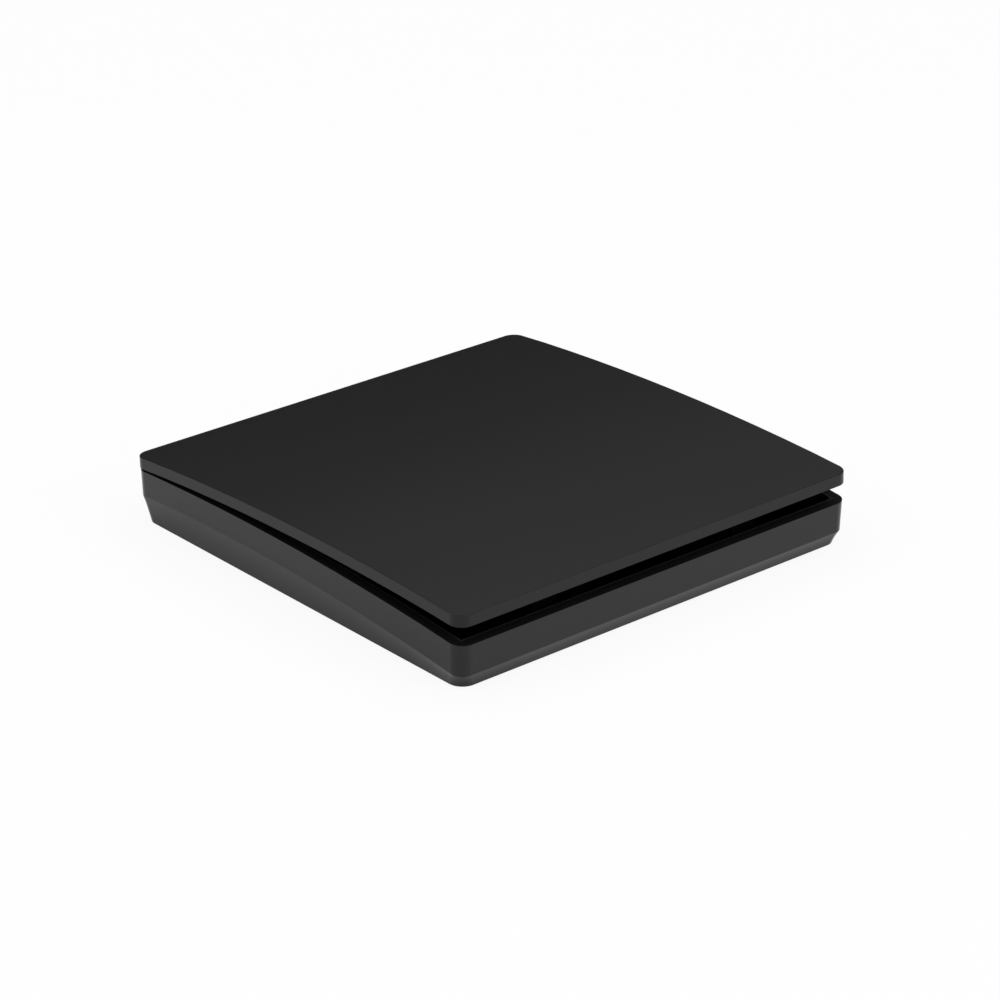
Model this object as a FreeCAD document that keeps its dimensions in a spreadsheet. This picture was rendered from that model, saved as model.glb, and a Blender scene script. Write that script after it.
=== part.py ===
import FreeCAD, Part
import Sketcher
import math
import os
import re

os.makedirs("parts", exist_ok=True)
doc = FreeCAD.newDocument("wall_switch")
dims = doc.addObject("Spreadsheet::Sheet", "dims")

sizes = {
    # outline of the housing: square face, arched rim, coved foot
    "face_size": 86,
    "corner_round": 1.7,
    "arch_radius": 575,
    "rim_high": 9.5,
    "rim_low": 7.73,
    "rim_setback": 0.03,
    "wall_draft": 2,
    "wall_thick": 2.1,
    "floor_thick": 1.6,
    "cavity_round": 1.2,
    "foot_high": 4.84,
    "foot_low": 2.5,
    "foot_rise": 1.75,
    "foot_inset": 1.03,
    "foot_lip": 0.19,
    "cove_share": 0.62,
    # rocker plate, concentric with the rim when closed
    "seam_gap": 0.38,
    "plate_thick": 2.2,
    "edge_break": 0.1,
    "edge_bevel": 0.1,
    "web_recess": 0.6,
    "border_width": 2,
    "rest_tilt": 1.95,
    "press_angle": 1.8,
    "rib_thick": 1,
    "rib_depth": 1.5,
    "side_rib_inset": 6.5,
    # hinge along the high edge
    "hinge_setback": 3.8,
    "hinge_height": 8,
    "hinge_inset": 16,
    "pin_radius": 1,
    "pin_clear": 0.05,
    "lug_length": 4.6,
    "lug_wall": 0.35,
    "lug_gap": 0.25,
    "ear_thick": 2,
    "ear_rise": 0.9,
    "ear_reach": 2,
    "snap_mouth": 1.7,
    # hooks that stop the plate at its rest tilt
    "latch_inset": 21,
    "latch_width": 5,
    "latch_clear": 0.15,
    "ledge_reach": 1.3,
    "ledge_thick": 1,
    "ledge_height": 5.9,
    "hook_thick": 1,
    "hook_gap": 0.7,
    "barb_grip": 0.6,
    "barb_thick": 1.1,
    # return springs and press bumpers
    "spring_width": 4,
    "spring_bend_x": 9,
    "spring_bend_radius": 1.2,
    "spring_foot_x": 19,
    "spring_tip_x": 24,
    "spring_clear": 0.1,
    "strip_thick": 0.3,
    "strap_x": 15,
    "strap_length": 2,
    "strap_side": 1,
    "strap_height": 1,
    "strap_clear": 0.06,
    "bumper_offset": 12,
    "bumper_half": 2,
    "bumper_thick": 1.4,
    "bumper_clear": 0.1,
    "bumper_stem_half": 0.8,
    "bumper_stem_length": 2,
    "bumper_fit": 0.02,
    "bumper_post_half": 2.6,
    # wall side
    "screw_spacing": 60.3,
    "wall_hole_radius": 2,
    "pad_seat_depth": 0.4,
    "pad_seat_offset": 23,
    "pad_seat_length": 24,
    "pad_seat_width": 48,
    # inner cover and small screws
    "cover_rear_x": -30,
    "cover_front_x": 25.5,
    "cover_half_width": 26,
    "cover_corner": 2.5,
    "cover_height": 7.7,
    "cover_thick": 1.2,
    "skirt_thick": 1,
    "skirt_drop": 1.5,
    "window_rear_x": -4,
    "window_front_x": 24.2,
    "window_half_width": 10.6,
    "tongue_offset": 16,
    "tongue_width": 4,
    "tongue_reach": 1.5,
    "tongue_thick": 0.8,
    "tongue_clear": 0.15,
    "catch_width": 5,
    "catch_thick": 1.2,
    "cover_rest_half": 1.5,
    "cover_screw_inset": 3.6,
    "cover_screw_length": 5,
    "boss_radius": 2.2,
    "screw_radius": 0.9,
    "screw_fit": 0.05,
    "screw_clear": 0.2,
    "head_radius": 1.7,
    "head_height": 0.8,
    "slot_width": 0.5,
    "slot_depth": 0.4,
    "pilot_floor": 1.1,
    # generator: frame, core, coil
    "pivot_x": 4,
    "pivot_rise": 3.3,
    "lever_reach": 16,
    "core_thick": 1.5,
    "core_rear_x": -20.5,
    "yoke_width": 3.5,
    "leg_width": 3.5,
    "coil_leg_y": -3.75,
    "return_leg_y": 5.75,
    "leg_tip_gap": 1,
    "return_leg_short": 0.2,
    "frame_rear_x": -22.5,
    "frame_front_x": 16,
    "frame_gap": 0.5,
    "frame_wall": 1.6,
    "frame_floor": 0.4,
    "frame_wall_low": 3,
    "frame_wall_high": 6.2,
    "tower_half": 4.5,
    "front_bar_width": 4.5,
    "rear_lug_length": 5,
    "rear_lug_width": 7,
    "frame_lug_thick": 1.4,
    "frame_boss_height": 2,
    "frame_screw_length": 3.4,
    "yoke_stop_rise": 0.6,
    "bobbin_rear_x": -16.4,
    "bobbin_length": 13,
    "flange_thick": 1,
    "flange_half_width": 4.6,
    "flange_half_height": 2.75,
    "tube_wall": 0.6,
    "bobbin_clear": 0.05,
    "winding_margin": 0.4,
    "winding_round": 1,
    "lead_radius": 0.2,
    "lead_rise": 1.2,
    "lead_x": -14.6,
    "lead_pitch": 1.6,
    "lead_landing": 1.6,
    # armature: magnet between two pole plates, on a pivoting carrier
    "pole_reach": 6,
    "pole_thick": 1,
    "contact_gap": 0.05,
    "magnet_length": 8,
    "magnet_width": 8.8,
    "magnet_shift_x": 1.2,
    "magnet_shift_y": -1.6,
    "carrier_half_width": 8.4,
    "carrier_half_length": 5,
    "cheek_thick": 1.1,
    "bridge_thick": 0.9,
    "lip_thick": 0.5,
    "lip_width": 1.5,
    "trunnion_radius": 0.9,
    "trunnion_clear": 0.05,
    "trunnion_end_gap": 0.2,
    "leaf_width": 7,
    "leaf_thick": 0.3,
    "leaf_rear": 4,
    "leaf_tip": 0.6,
    "leaf_corner": 1.5,
    "stake_spacing": 4,
    "stake_length": 1.6,
    "stake_width": 2.4,
    "stake_clear": 0.05,
    "stake_head": 0.4,
    "drive_clear": 0.1,
    "drive_width": 6,
    "drive_radius": 1.2,
    # circuit board and its components
    "board_rear_x": -24,
    "board_front_x": 13,
    "board_near_y": 12.6,
    "board_margin": 1.6,
    "row_margin": 0.3,
    "board_thick": 1,
    "board_rise": 1.2,
    "rail_thick": 1.2,
    "rail_inset": 3.5,
    "clip_width": 3,
    "clip_thick": 0.6,
    "clip_clear": 0.05,
    "clip_lip": 0.4,
    "clip_rise": 0.8,
    "chip_width": 4,
    "chip_height": 0.9,
    "chip_x": 3.5,
    "rectifier_length": 4.7,
    "rectifier_width": 3.9,
    "rectifier_height": 2.3,
    "rectifier_x": -9.5,
    "capacitor_length": 7.3,
    "capacitor_width": 4.3,
    "capacitor_height": 2.8,
    "capacitor_x": 2.2,
    "capacitor_gap": 1.2,
    "inductor_width": 4,
    "inductor_height": 2.2,
    "inductor_x": -3.5,
    "crystal_length": 3.2,
    "crystal_width": 2.5,
    "crystal_height": 0.8,
    "crystal_x": -11,
    "antenna_radius": 0.4,
    "antenna_rear_x": -17.5,
    "antenna_front_x": 7,
    "antenna_rise": 2.8,
    "antenna_inset": 1.4,
}

for row, (name, number) in enumerate(sizes.items(), 1):
    dims.set(f"A{row}", name)
    dims.set(f"B{row}", str(number))
    dims.setAlias(f"B{row}", name)
doc.recompute()

# named places worked out from the sizes
half_face = "(face_size / 2)"
inner_half = "(face_size / 2 - wall_thick)"
rim_chord = "sqrt(face_size^2 + (rim_high - rim_low)^2)"
arch_depth = f"sqrt(arch_radius^2 - ({rim_chord} / 2)^2)"
arch_x = f"(-{arch_depth} * (rim_high - rim_low) / {rim_chord})"
arch_z = f"((rim_high + rim_low) / 2 - {arch_depth} * face_size / {rim_chord})"
top_lift = "(seam_gap + plate_thick)"
web_lift = "(seam_gap + web_recess)"
hinge_x = "(hinge_setback - face_size / 2)"
pivot_z = "(floor_thick + pivot_rise)"
flip = f"(press_angle * (pivot_x + lever_reach - {hinge_x}) / lever_reach / 2)"
magnet_half = f"((core_thick / 2 + contact_gap + pole_reach * sin({flip})) / cos({flip}))"
pole_top = f"({magnet_half} + pole_thick)"
bridge_top = f"({pole_top} + bridge_thick)"
leaf_top = f"({bridge_top} + leaf_thick)"
carrier_half = "(carrier_half_width + cheek_thick)"
frame_half = f"({carrier_half} + frame_gap + frame_wall)"
cover_under = "(floor_thick + cover_height - cover_thick)"
cover_top = "(floor_thick + cover_height)"
frame_lug_z = "(floor_thick + frame_boss_height)"
board_z = "(floor_thick + board_rise)"
board_top = f"({board_z} + board_thick)"
ledge_x = f"({inner_half} - ledge_reach)"
rear_rib_x = f"((cover_rear_x + {hinge_x}) / 2)"
front_rib_x = f"((cover_front_x + {ledge_x}) / 2)"
side_rib_spread = "(face_size / 2 - side_rib_inset)"
hinge_spread = "(face_size / 2 - hinge_inset)"
latch_spread = "(face_size / 2 - latch_inset)"
spring_spread = f"((cover_half_width + {side_rib_spread}) / 2)"
board_far = "(cover_half_width - board_margin)"
near_row = "(board_near_y + row_margin + capacitor_width / 2)"
far_row = f"({board_far} - row_margin - inductor_width / 2)"
antenna_y = f"({board_far} - antenna_inset)"


def full(expression):
    def name_it(word):
        return f"dims.{word.group()}" if word.group() in sizes else word.group()
    return re.sub(r"\b[a-z]+(?:_[a-z]+)+\b", name_it, str(expression))


def value(expression):
    return float(dims.evalExpression(full(expression)))


def bind(item, prop, expression):
    item.setExpression(prop, full(expression))


def arch_at(x, lift="0"):
    return f"({arch_z} + sqrt((arch_radius + {lift})^2 - ({x} - {arch_x})^2))"


def body_named(label):
    body = doc.addObject("PartDesign::Body", label)
    body.Label = label
    return body


def sketch(body, name, role="XY_Plane", offset="0"):
    drawing = body.newObject("Sketcher::SketchObject", f"{body.Name}_{name}")
    origin_plane = [item for item in body.Origin.OriginFeatures if item.Role == role][0]
    drawing.AttachmentSupport = (origin_plane, [""])
    drawing.MapMode = "FlatFace"
    bind(drawing, "AttachmentOffset.Base.z", offset)
    return drawing


def limit(drawing, kind, expression, *places):
    number = drawing.addConstraint(Sketcher.Constraint(kind, *places, value(expression)))
    bind(drawing, f"Constraints[{number}]", expression)


def locate(drawing, geometry, point, x, y):
    for kind, axis, expression in (("DistanceX", -2, x), ("DistanceY", -1, y)):
        if expression == "0":
            drawing.addConstraint(Sketcher.Constraint("PointOnObject", geometry, point, axis))
        else:
            limit(drawing, kind, expression, -1, 1, geometry, point)


def spot(x, y):
    return FreeCAD.Vector(value(x), value(y), 0)


def polygon(drawing, *points):
    first = drawing.GeometryCount
    count = len(points)
    for k in range(count):
        ends = [spot(*points[k]), spot(*points[(k + 1) % count])]
        drawing.addGeometry(Part.LineSegment(*ends))
    for k in range(count):
        last = first + (k - 1) % count
        drawing.addConstraint(Sketcher.Constraint("Coincident", first + k, 1, last, 2))
        locate(drawing, first + k, 1, *points[k])


def rectangle(drawing, left, right, low, high):
    polygon(drawing, (left, low), (right, low), (right, high), (left, high))


def circle(drawing, x, y, radius):
    number = drawing.addGeometry(Part.Circle(spot(x, y), FreeCAD.Vector(0, 0, 1), value(radius)))
    limit(drawing, "Radius", radius, number)
    locate(drawing, number, 3, x, y)


def rounded(drawing, left, right, low, high, radius):
    first = drawing.GeometryCount
    x0, x1, y0, y1, r = [value(item) for item in (left, right, low, high, radius)]
    up = FreeCAD.Vector(0, 0, 1)
    centres = [(x1 - r, y0 + r), (x1 - r, y1 - r), (x0 + r, y1 - r), (x0 + r, y0 + r)]
    sides = [((x0 + r, y0), (x1 - r, y0)), ((x1, y0 + r), (x1, y1 - r)),
             ((x1 - r, y1), (x0 + r, y1)), ((x0, y1 - r), (x0, y0 + r))]
    for k in range(4):
        start, end = [FreeCAD.Vector(*point, 0) for point in sides[k]]
        drawing.addGeometry(Part.LineSegment(start, end))
        round_off = Part.Circle(FreeCAD.Vector(*centres[k], 0), up, r)
        turn = (k - 1) * math.pi / 2
        drawing.addGeometry(Part.ArcOfCircle(round_off, turn, turn + math.pi / 2))
    for k in range(4):
        line = first + 2 * k
        following = first + (2 * k + 2) % 8
        drawing.addConstraint(Sketcher.Constraint("Tangent", line, 2, line + 1, 1))
        drawing.addConstraint(Sketcher.Constraint("Tangent", line + 1, 2, following, 1))
        drawing.addConstraint(Sketcher.Constraint("Vertical" if k % 2 else "Horizontal", line))
        if k:
            drawing.addConstraint(Sketcher.Constraint("Equal", first + 1, line + 1))
    limit(drawing, "Radius", radius, first + 1)
    limit(drawing, "DistanceY", low, -1, 1, first, 1)
    limit(drawing, "DistanceX", right, -1, 1, first + 2, 1)
    limit(drawing, "DistanceY", high, -1, 1, first + 4, 1)
    limit(drawing, "DistanceX", left, -1, 1, first + 6, 1)


def level(drawing, left, right, lift, height):
    if lift is None:
        number = drawing.addGeometry(Part.LineSegment(spot(left, height), spot(right, height)))
        drawing.addConstraint(Sketcher.Constraint("Horizontal", number))
        limit(drawing, "DistanceY", height, -1, 1, number, 1)
        return number, 1, 2
    centre = spot(arch_x, arch_z)
    ends = [spot(x, arch_at(x, lift)) - centre for x in (right, left)]
    whole = Part.Circle(centre, FreeCAD.Vector(0, 0, 1), ends[0].Length)
    angles = [math.atan2(end.y, end.x) for end in ends]
    number = drawing.addGeometry(Part.ArcOfCircle(whole, *angles))
    locate(drawing, number, 3, arch_x, arch_z)
    limit(drawing, "Radius", f"arch_radius + {lift}", number)
    return number, 2, 1


def arched(drawing, left, right, low_lift=None, low=None, high_lift=None, high=None):
    lower = level(drawing, left, right, low_lift, low)
    upper = level(drawing, left, right, high_lift, high)
    for side, x in ((1, left), (2, right)):
        heights = [low if low_lift is None else arch_at(x, low_lift),
                   high if high_lift is None else arch_at(x, high_lift)]
        line = drawing.addGeometry(Part.LineSegment(spot(x, heights[0]), spot(x, heights[1])))
        drawing.addConstraint(Sketcher.Constraint("Vertical", line))
        limit(drawing, "DistanceX", x, -1, 1, line, 1)
        drawing.addConstraint(Sketcher.Constraint("Coincident", line, 1, lower[0], lower[side]))
        drawing.addConstraint(Sketcher.Constraint("Coincident", line, 2, upper[0], upper[side]))


def feature(body, kind, drawing, length, symmetric, reverse):
    before = body.Shape.Volume if body.Tip and body.Tip.isDerivedFrom("Part::Feature") else 0
    item = body.newObject(f"PartDesign::{kind}", f"{drawing.Name}_{kind.lower()}")
    item.Profile = drawing
    item.SideType = "Symmetric" if symmetric else "One side"
    item.Reversed = reverse
    bind(item, "Length", length)
    doc.recompute()
    change = item.Shape.Volume - before
    if change * (1 if kind == "Pad" else -1) <= 0:
        raise ValueError(f"{item.Name} changed nothing")
    return item


def pad(body, drawing, length, symmetric=False, reverse=False):
    return feature(body, "Pad", drawing, length, symmetric, reverse)


def cut(body, drawing, length, symmetric=False, reverse=False):
    return feature(body, "Pocket", drawing, length, symmetric, reverse)


def dress(body, kind, size_name, expression, wanted):
    base = body.Tip
    picked = [f"Edge{k}" for k, edge in enumerate(base.Shape.Edges, 1) if wanted(edge)]
    item = body.newObject(f"PartDesign::{kind}", f"{body.Name}_{kind.lower()}")
    item.Base = (base, picked)
    bind(item, size_name, expression)
    doc.recompute()
    return item


def upright(edge):
    start, end = edge.Vertexes[0].Point, edge.Vertexes[-1].Point
    return abs(start.x - end.x) + abs(start.y - end.y) < 1e-6 and abs(start.z - end.z) > 1e-3


def square(drawing, x, y, half):
    rectangle(drawing, f"{x} - {half}", f"{x} + {half}", f"{y} - {half}", f"{y} + {half}")


def blocks(body, name, centres, half, low, height):
    drawing = sketch(body, name, offset=low)
    for x, y in centres:
        square(drawing, x, y, half)
    pad(body, drawing, height)


def posts(body, name, centres, radius, height):
    drawing = sketch(body, name, offset="floor_thick")
    for x, y in centres:
        circle(drawing, x, y, radius)
    pad(body, drawing, height)


def bores(body, name, centres, radius, top, depth):
    drawing = sketch(body, name, offset=top)
    for x, y in centres:
        circle(drawing, x, y, radius)
    cut(body, drawing, depth)


def block(name, sides, low_corner):
    item = doc.addObject("Part::Box", name)
    for prop, expression in zip(("Length", "Width", "Height"), sides):
        bind(item, prop, expression)
    for axis, expression in zip("xyz", low_corner):
        bind(item, f"Placement.Base.{axis}", expression)
    return item


def rod(name, radius, height, foot):
    item = doc.addObject("Part::Cylinder", name)
    bind(item, "Radius", radius)
    bind(item, "Height", height)
    for axis, expression in zip("xyz", foot):
        bind(item, f"Placement.Base.{axis}", expression)
    return item


def joined(name, *items):
    item = doc.addObject("Part::MultiFuse", name)
    item.Shapes = list(items)
    return item


def gathered(label, items):
    item = doc.addObject("Part::Compound", label)
    item.Label = label
    item.Links = items
    return item


def screw_set(label, centres, seat, length):
    screws = []
    for k, (x, y) in enumerate(centres):
        name = f"{label}_{k}"
        head = rod(f"{name}_head", "head_radius", "head_height", (x, y, seat))
        shank = rod(f"{name}_shank", "screw_radius", length, (x, y, f"{seat} - {length}"))
        slot_low = f"{seat} + head_height - slot_depth"
        slots = [
            block(f"{name}_slot_a", ("2 * head_radius - 4 * slot_width", "slot_width", "2 * slot_depth"),
                  (f"{x} - head_radius + 2 * slot_width", f"{y} - slot_width / 2", slot_low)),
            block(f"{name}_slot_b", ("slot_width", "2 * head_radius - 4 * slot_width", "2 * slot_depth"),
                  (f"{x} - slot_width / 2", f"{y} - head_radius + 2 * slot_width", slot_low)),
        ]
        driven = doc.addObject("Part::Cut", name)
        driven.Base = joined(f"{name}_solid", head, shank)
        driven.Tool = joined(f"{name}_cross", *slots)
        screws.append(driven)
    return gathered(label, screws)


def ride_pivot(item):
    item.Placement = FreeCAD.Placement(
        FreeCAD.Vector(), FreeCAD.Rotation(FreeCAD.Vector(0, 1, 0), -value(flip)))
    bind(item, "Placement.Base.x", "pivot_x")
    bind(item, "Placement.Base.z", pivot_z)
    bind(item, "Placement.Rotation.Angle", f"-{flip}")
    return item


def foot_wire(inset, share=None, height=0.0):
    half = value(half_face) - inset
    r = value("corner_round")
    bend = r * (1 - math.sqrt(0.5))
    high, low, rise = value("foot_high"), value("foot_low"), value("foot_rise")

    def point(x, y):
        if share is None:
            return FreeCAD.Vector(x, y, height)
        along = x / half
        level_here = (high + low) / 2 - (high - low) / 2 * along + rise * (1 - along * along)
        return FreeCAD.Vector(x, y, share * level_here)

    edges = []
    for turn_x, turn_y in ((1, -1), (1, 1), (-1, 1), (-1, -1)):
        if turn_x * turn_y < 0:
            start, end = point(-turn_x * (half - r), turn_y * half), point(turn_x * (half - r), turn_y * half)
            middle = point(0, turn_y * half)
            swing = [point(turn_x * (half - r), turn_y * half),
                     point(turn_x * (half - bend), turn_y * (half - bend)),
                     point(turn_x * half, turn_y * (half - r))]
        else:
            start, end = point(turn_x * half, -turn_y * (half - r)), point(turn_x * half, turn_y * (half - r))
            middle = None
            swing = [point(turn_x * half, turn_y * (half - r)),
                     point(turn_x * (half - bend), turn_y * (half - bend)),
                     point(turn_x * (half - r), turn_y * half)]
        if share and middle:
            edges.append(Part.Arc(start, middle, end).toShape())
        else:
            edges.append(Part.LineSegment(start, end).toShape())
        edges.append(Part.Arc(*swing).toShape())
    return Part.Wire(edges)


def make_housing():
    shell = doc.addObject("PartDesign::Body", "housing_block")
    drawing = sketch(shell, "outline")
    half = f"({half_face} - rim_setback - rim_high * tan(wall_draft))"
    rounded(drawing, f"-{half}", half, f"-{half}", half, "corner_round")
    walls = pad(shell, drawing, "rim_high * 1.3")
    bind(walls, "TaperAngle", "wall_draft")
    doc.recompute()
    drawing = sketch(shell, "arch", "XZ_Plane")
    arched(drawing, f"-{half_face} - wall_thick", f"{half_face} + wall_thick",
           low_lift="0", high="rim_high * 2")
    cut(shell, drawing, "face_size + 2 * wall_thick", symmetric=True)

    flare = doc.addObject("Part::Feature", "coved_foot")
    lip, inset, share = value("foot_lip"), value("foot_inset"), value("cove_share")
    rise, bend = (inset - lip) * (4 * share - 1), (inset - lip) * (2 - 4 * share)
    sections = [foot_wire(inset)]
    for part_way in (0.5, 1.0, 1.5):
        down = 1 - part_way
        sections.append(foot_wire(lip + rise * down + bend * down * down, share=part_way))
    sections.append(foot_wire(lip - 2.5 * inset, height=value("rim_high * 1.5")))
    flare.Shape = Part.makeLoft(sections, True, False)
    outer = doc.addObject("Part::Common", "housing_outer")
    outer.Base = shell
    outer.Tool = flare
    doc.recompute()

    body = body_named("rear_housing")
    body.BaseFeature = outer
    doc.recompute()
    drawing = sketch(body, "cavity", offset="floor_thick")
    rounded(drawing, f"-{inner_half}", inner_half, f"-{inner_half}", inner_half, "cavity_round")
    cut(body, drawing, "rim_high * 2", reverse=True)

    drawing = sketch(body, "ears", offset="floor_thick")
    ear_near = f"({hinge_spread} + lug_length / 2 + lug_gap)"
    ear_far = f"({ear_near} + ear_thick)"
    for low, high in ((ear_near, ear_far), (f"-{ear_far}", f"-{ear_near}")):
        rectangle(drawing, f"-{inner_half} - wall_thick / 4", f"{hinge_x} + ear_reach", low, high)
    pad(body, drawing, "hinge_height + ear_rise - floor_thick")
    drawing = sketch(body, "pin_seats", "XZ_Plane")
    circle(drawing, hinge_x, "hinge_height", "pin_radius + pin_clear")
    cut(body, drawing, f"2 * {ear_far} + ear_thick", symmetric=True)
    drawing = sketch(body, "pin_mouths", "XZ_Plane")
    rectangle(drawing, f"{hinge_x} - snap_mouth / 2", f"{hinge_x} + snap_mouth / 2",
              "hinge_height", "hinge_height + 2 * ear_rise")
    cut(body, drawing, f"2 * {ear_far} + ear_thick", symmetric=True)

    drawing = sketch(body, "ledges", offset="ledge_height")
    for side in ("", "-"):
        rectangle(drawing, ledge_x, f"{inner_half} + wall_thick / 4",
                  f"{side}{latch_spread} - latch_width / 2", f"{side}{latch_spread} + latch_width / 2")
    pad(body, drawing, "ledge_thick")

    bumper_spots = [(front_rib_x, "bumper_offset"), (front_rib_x, "-bumper_offset")]
    bumper_low = f"({bumper_top} - bumper_thick)"
    wall_spots = [("0", "screw_spacing / 2"), ("0", "-screw_spacing / 2")]
    blocks(body, "cover_rests", cover_rest_spots(), "cover_rest_half", "floor_thick",
           "cover_height - cover_thick")
    blocks(body, "bumper_posts", bumper_spots, "bumper_post_half", "floor_thick",
           f"{bumper_low} - floor_thick")
    posts(body, "cover_bosses", cover_screw_spots(), "boss_radius", "cover_height - cover_thick")
    posts(body, "frame_bosses", frame_screw_spots(), "boss_radius", "frame_boss_height")
    pilot = "screw_radius + screw_fit"
    bores(body, "cover_pilots", cover_screw_spots(), pilot, cover_under, "cover_screw_length")
    bores(body, "frame_pilots", frame_screw_spots(), pilot, frame_lug_z, f"{frame_lug_z} - pilot_floor")
    bores(body, "wall_holes", wall_spots, "wall_hole_radius", "floor_thick", "floor_thick")
    drawing = sketch(body, "bumper_sockets", offset=bumper_low)
    for x, y in bumper_spots:
        square(drawing, x, y, "(bumper_stem_half + bumper_fit)")
    cut(body, drawing, "bumper_stem_length + bumper_fit")

    catch_low = f"({cover_under} - skirt_drop + tongue_thick + tongue_clear)"
    catch_x = "(cover_rear_x - tongue_reach - tongue_clear)"
    for side in ("", "-"):
        tail = side and "_b"
        drawing = sketch(body, f"cover_catch{tail}", "XZ_Plane", f"{side}tongue_offset")
        polygon(drawing, (f"{catch_x} - catch_thick", "floor_thick"), (catch_x, "floor_thick"),
                (catch_x, catch_low), ("cover_rear_x - 3 * tongue_clear", catch_low),
                ("cover_rear_x - 3 * tongue_clear", f"{catch_low} + catch_thick / 2"),
                (catch_x, f"{catch_low} + catch_thick"),
                (f"{catch_x} - catch_thick", f"{catch_low} + catch_thick"))
        pad(body, drawing, "catch_width", symmetric=True)
        middle = f"{side}{spring_spread}"
        drawing = sketch(body, f"spring_strap{tail}", offset="floor_thick")
        strap_half = "(spring_width / 2 + strap_clear)"
        rectangle(drawing, "strap_x", "strap_x + strap_length",
                  f"{middle} - {strap_half} - strap_side", f"{middle} + {strap_half} + strap_side")
        pad(body, drawing, "strap_height")
        drawing = sketch(body, f"strap_slot{tail}", "YZ_Plane", "strap_x + strap_length")
        rectangle(drawing, f"{middle} - {strap_half}", f"{middle} + {strap_half}",
                  "floor_thick", "floor_thick + strip_thick + strap_clear")
        cut(body, drawing, "strap_length")

    for name, x in (("rear", "(board_rear_x + rail_inset)"), ("front", "(board_front_x - rail_inset)")):
        drawing = sketch(body, f"{name}_rail", offset="floor_thick")
        rectangle(drawing, f"{x} - rail_thick / 2", f"{x} + rail_thick / 2", "board_near_y", board_far)
        pad(body, drawing, "board_rise")
        drawing = sketch(body, f"{name}_clip", "YZ_Plane", f"{x} - clip_width / 2")
        face = f"({board_far} + clip_clear)"
        lip = f"({board_top} + clip_clear)"
        polygon(drawing, (face, "floor_thick"), (f"{face} + clip_thick", "floor_thick"),
                (f"{face} + clip_thick", f"{lip} + clip_rise"), (face, f"{lip} + clip_rise"),
                (f"{face} - clip_lip", lip), (face, lip))
        pad(body, drawing, "clip_width")
        drawing = sketch(body, f"{name}_stop", offset="floor_thick")
        rectangle(drawing, f"{x} - clip_width / 2", f"{x} + clip_width / 2",
                  "board_near_y - clip_clear - clip_thick", "board_near_y - clip_clear")
        pad(body, drawing, "board_rise + board_thick")

    drawing = sketch(body, "pad_seats")
    for side in ("", "-"):
        middle = f"{side}pad_seat_offset"
        rectangle(drawing, f"{middle} - pad_seat_length / 2", f"{middle} + pad_seat_length / 2",
                  "-pad_seat_width / 2", "pad_seat_width / 2")
    cut(body, drawing, "pad_seat_depth", reverse=True)
    return body


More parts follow.
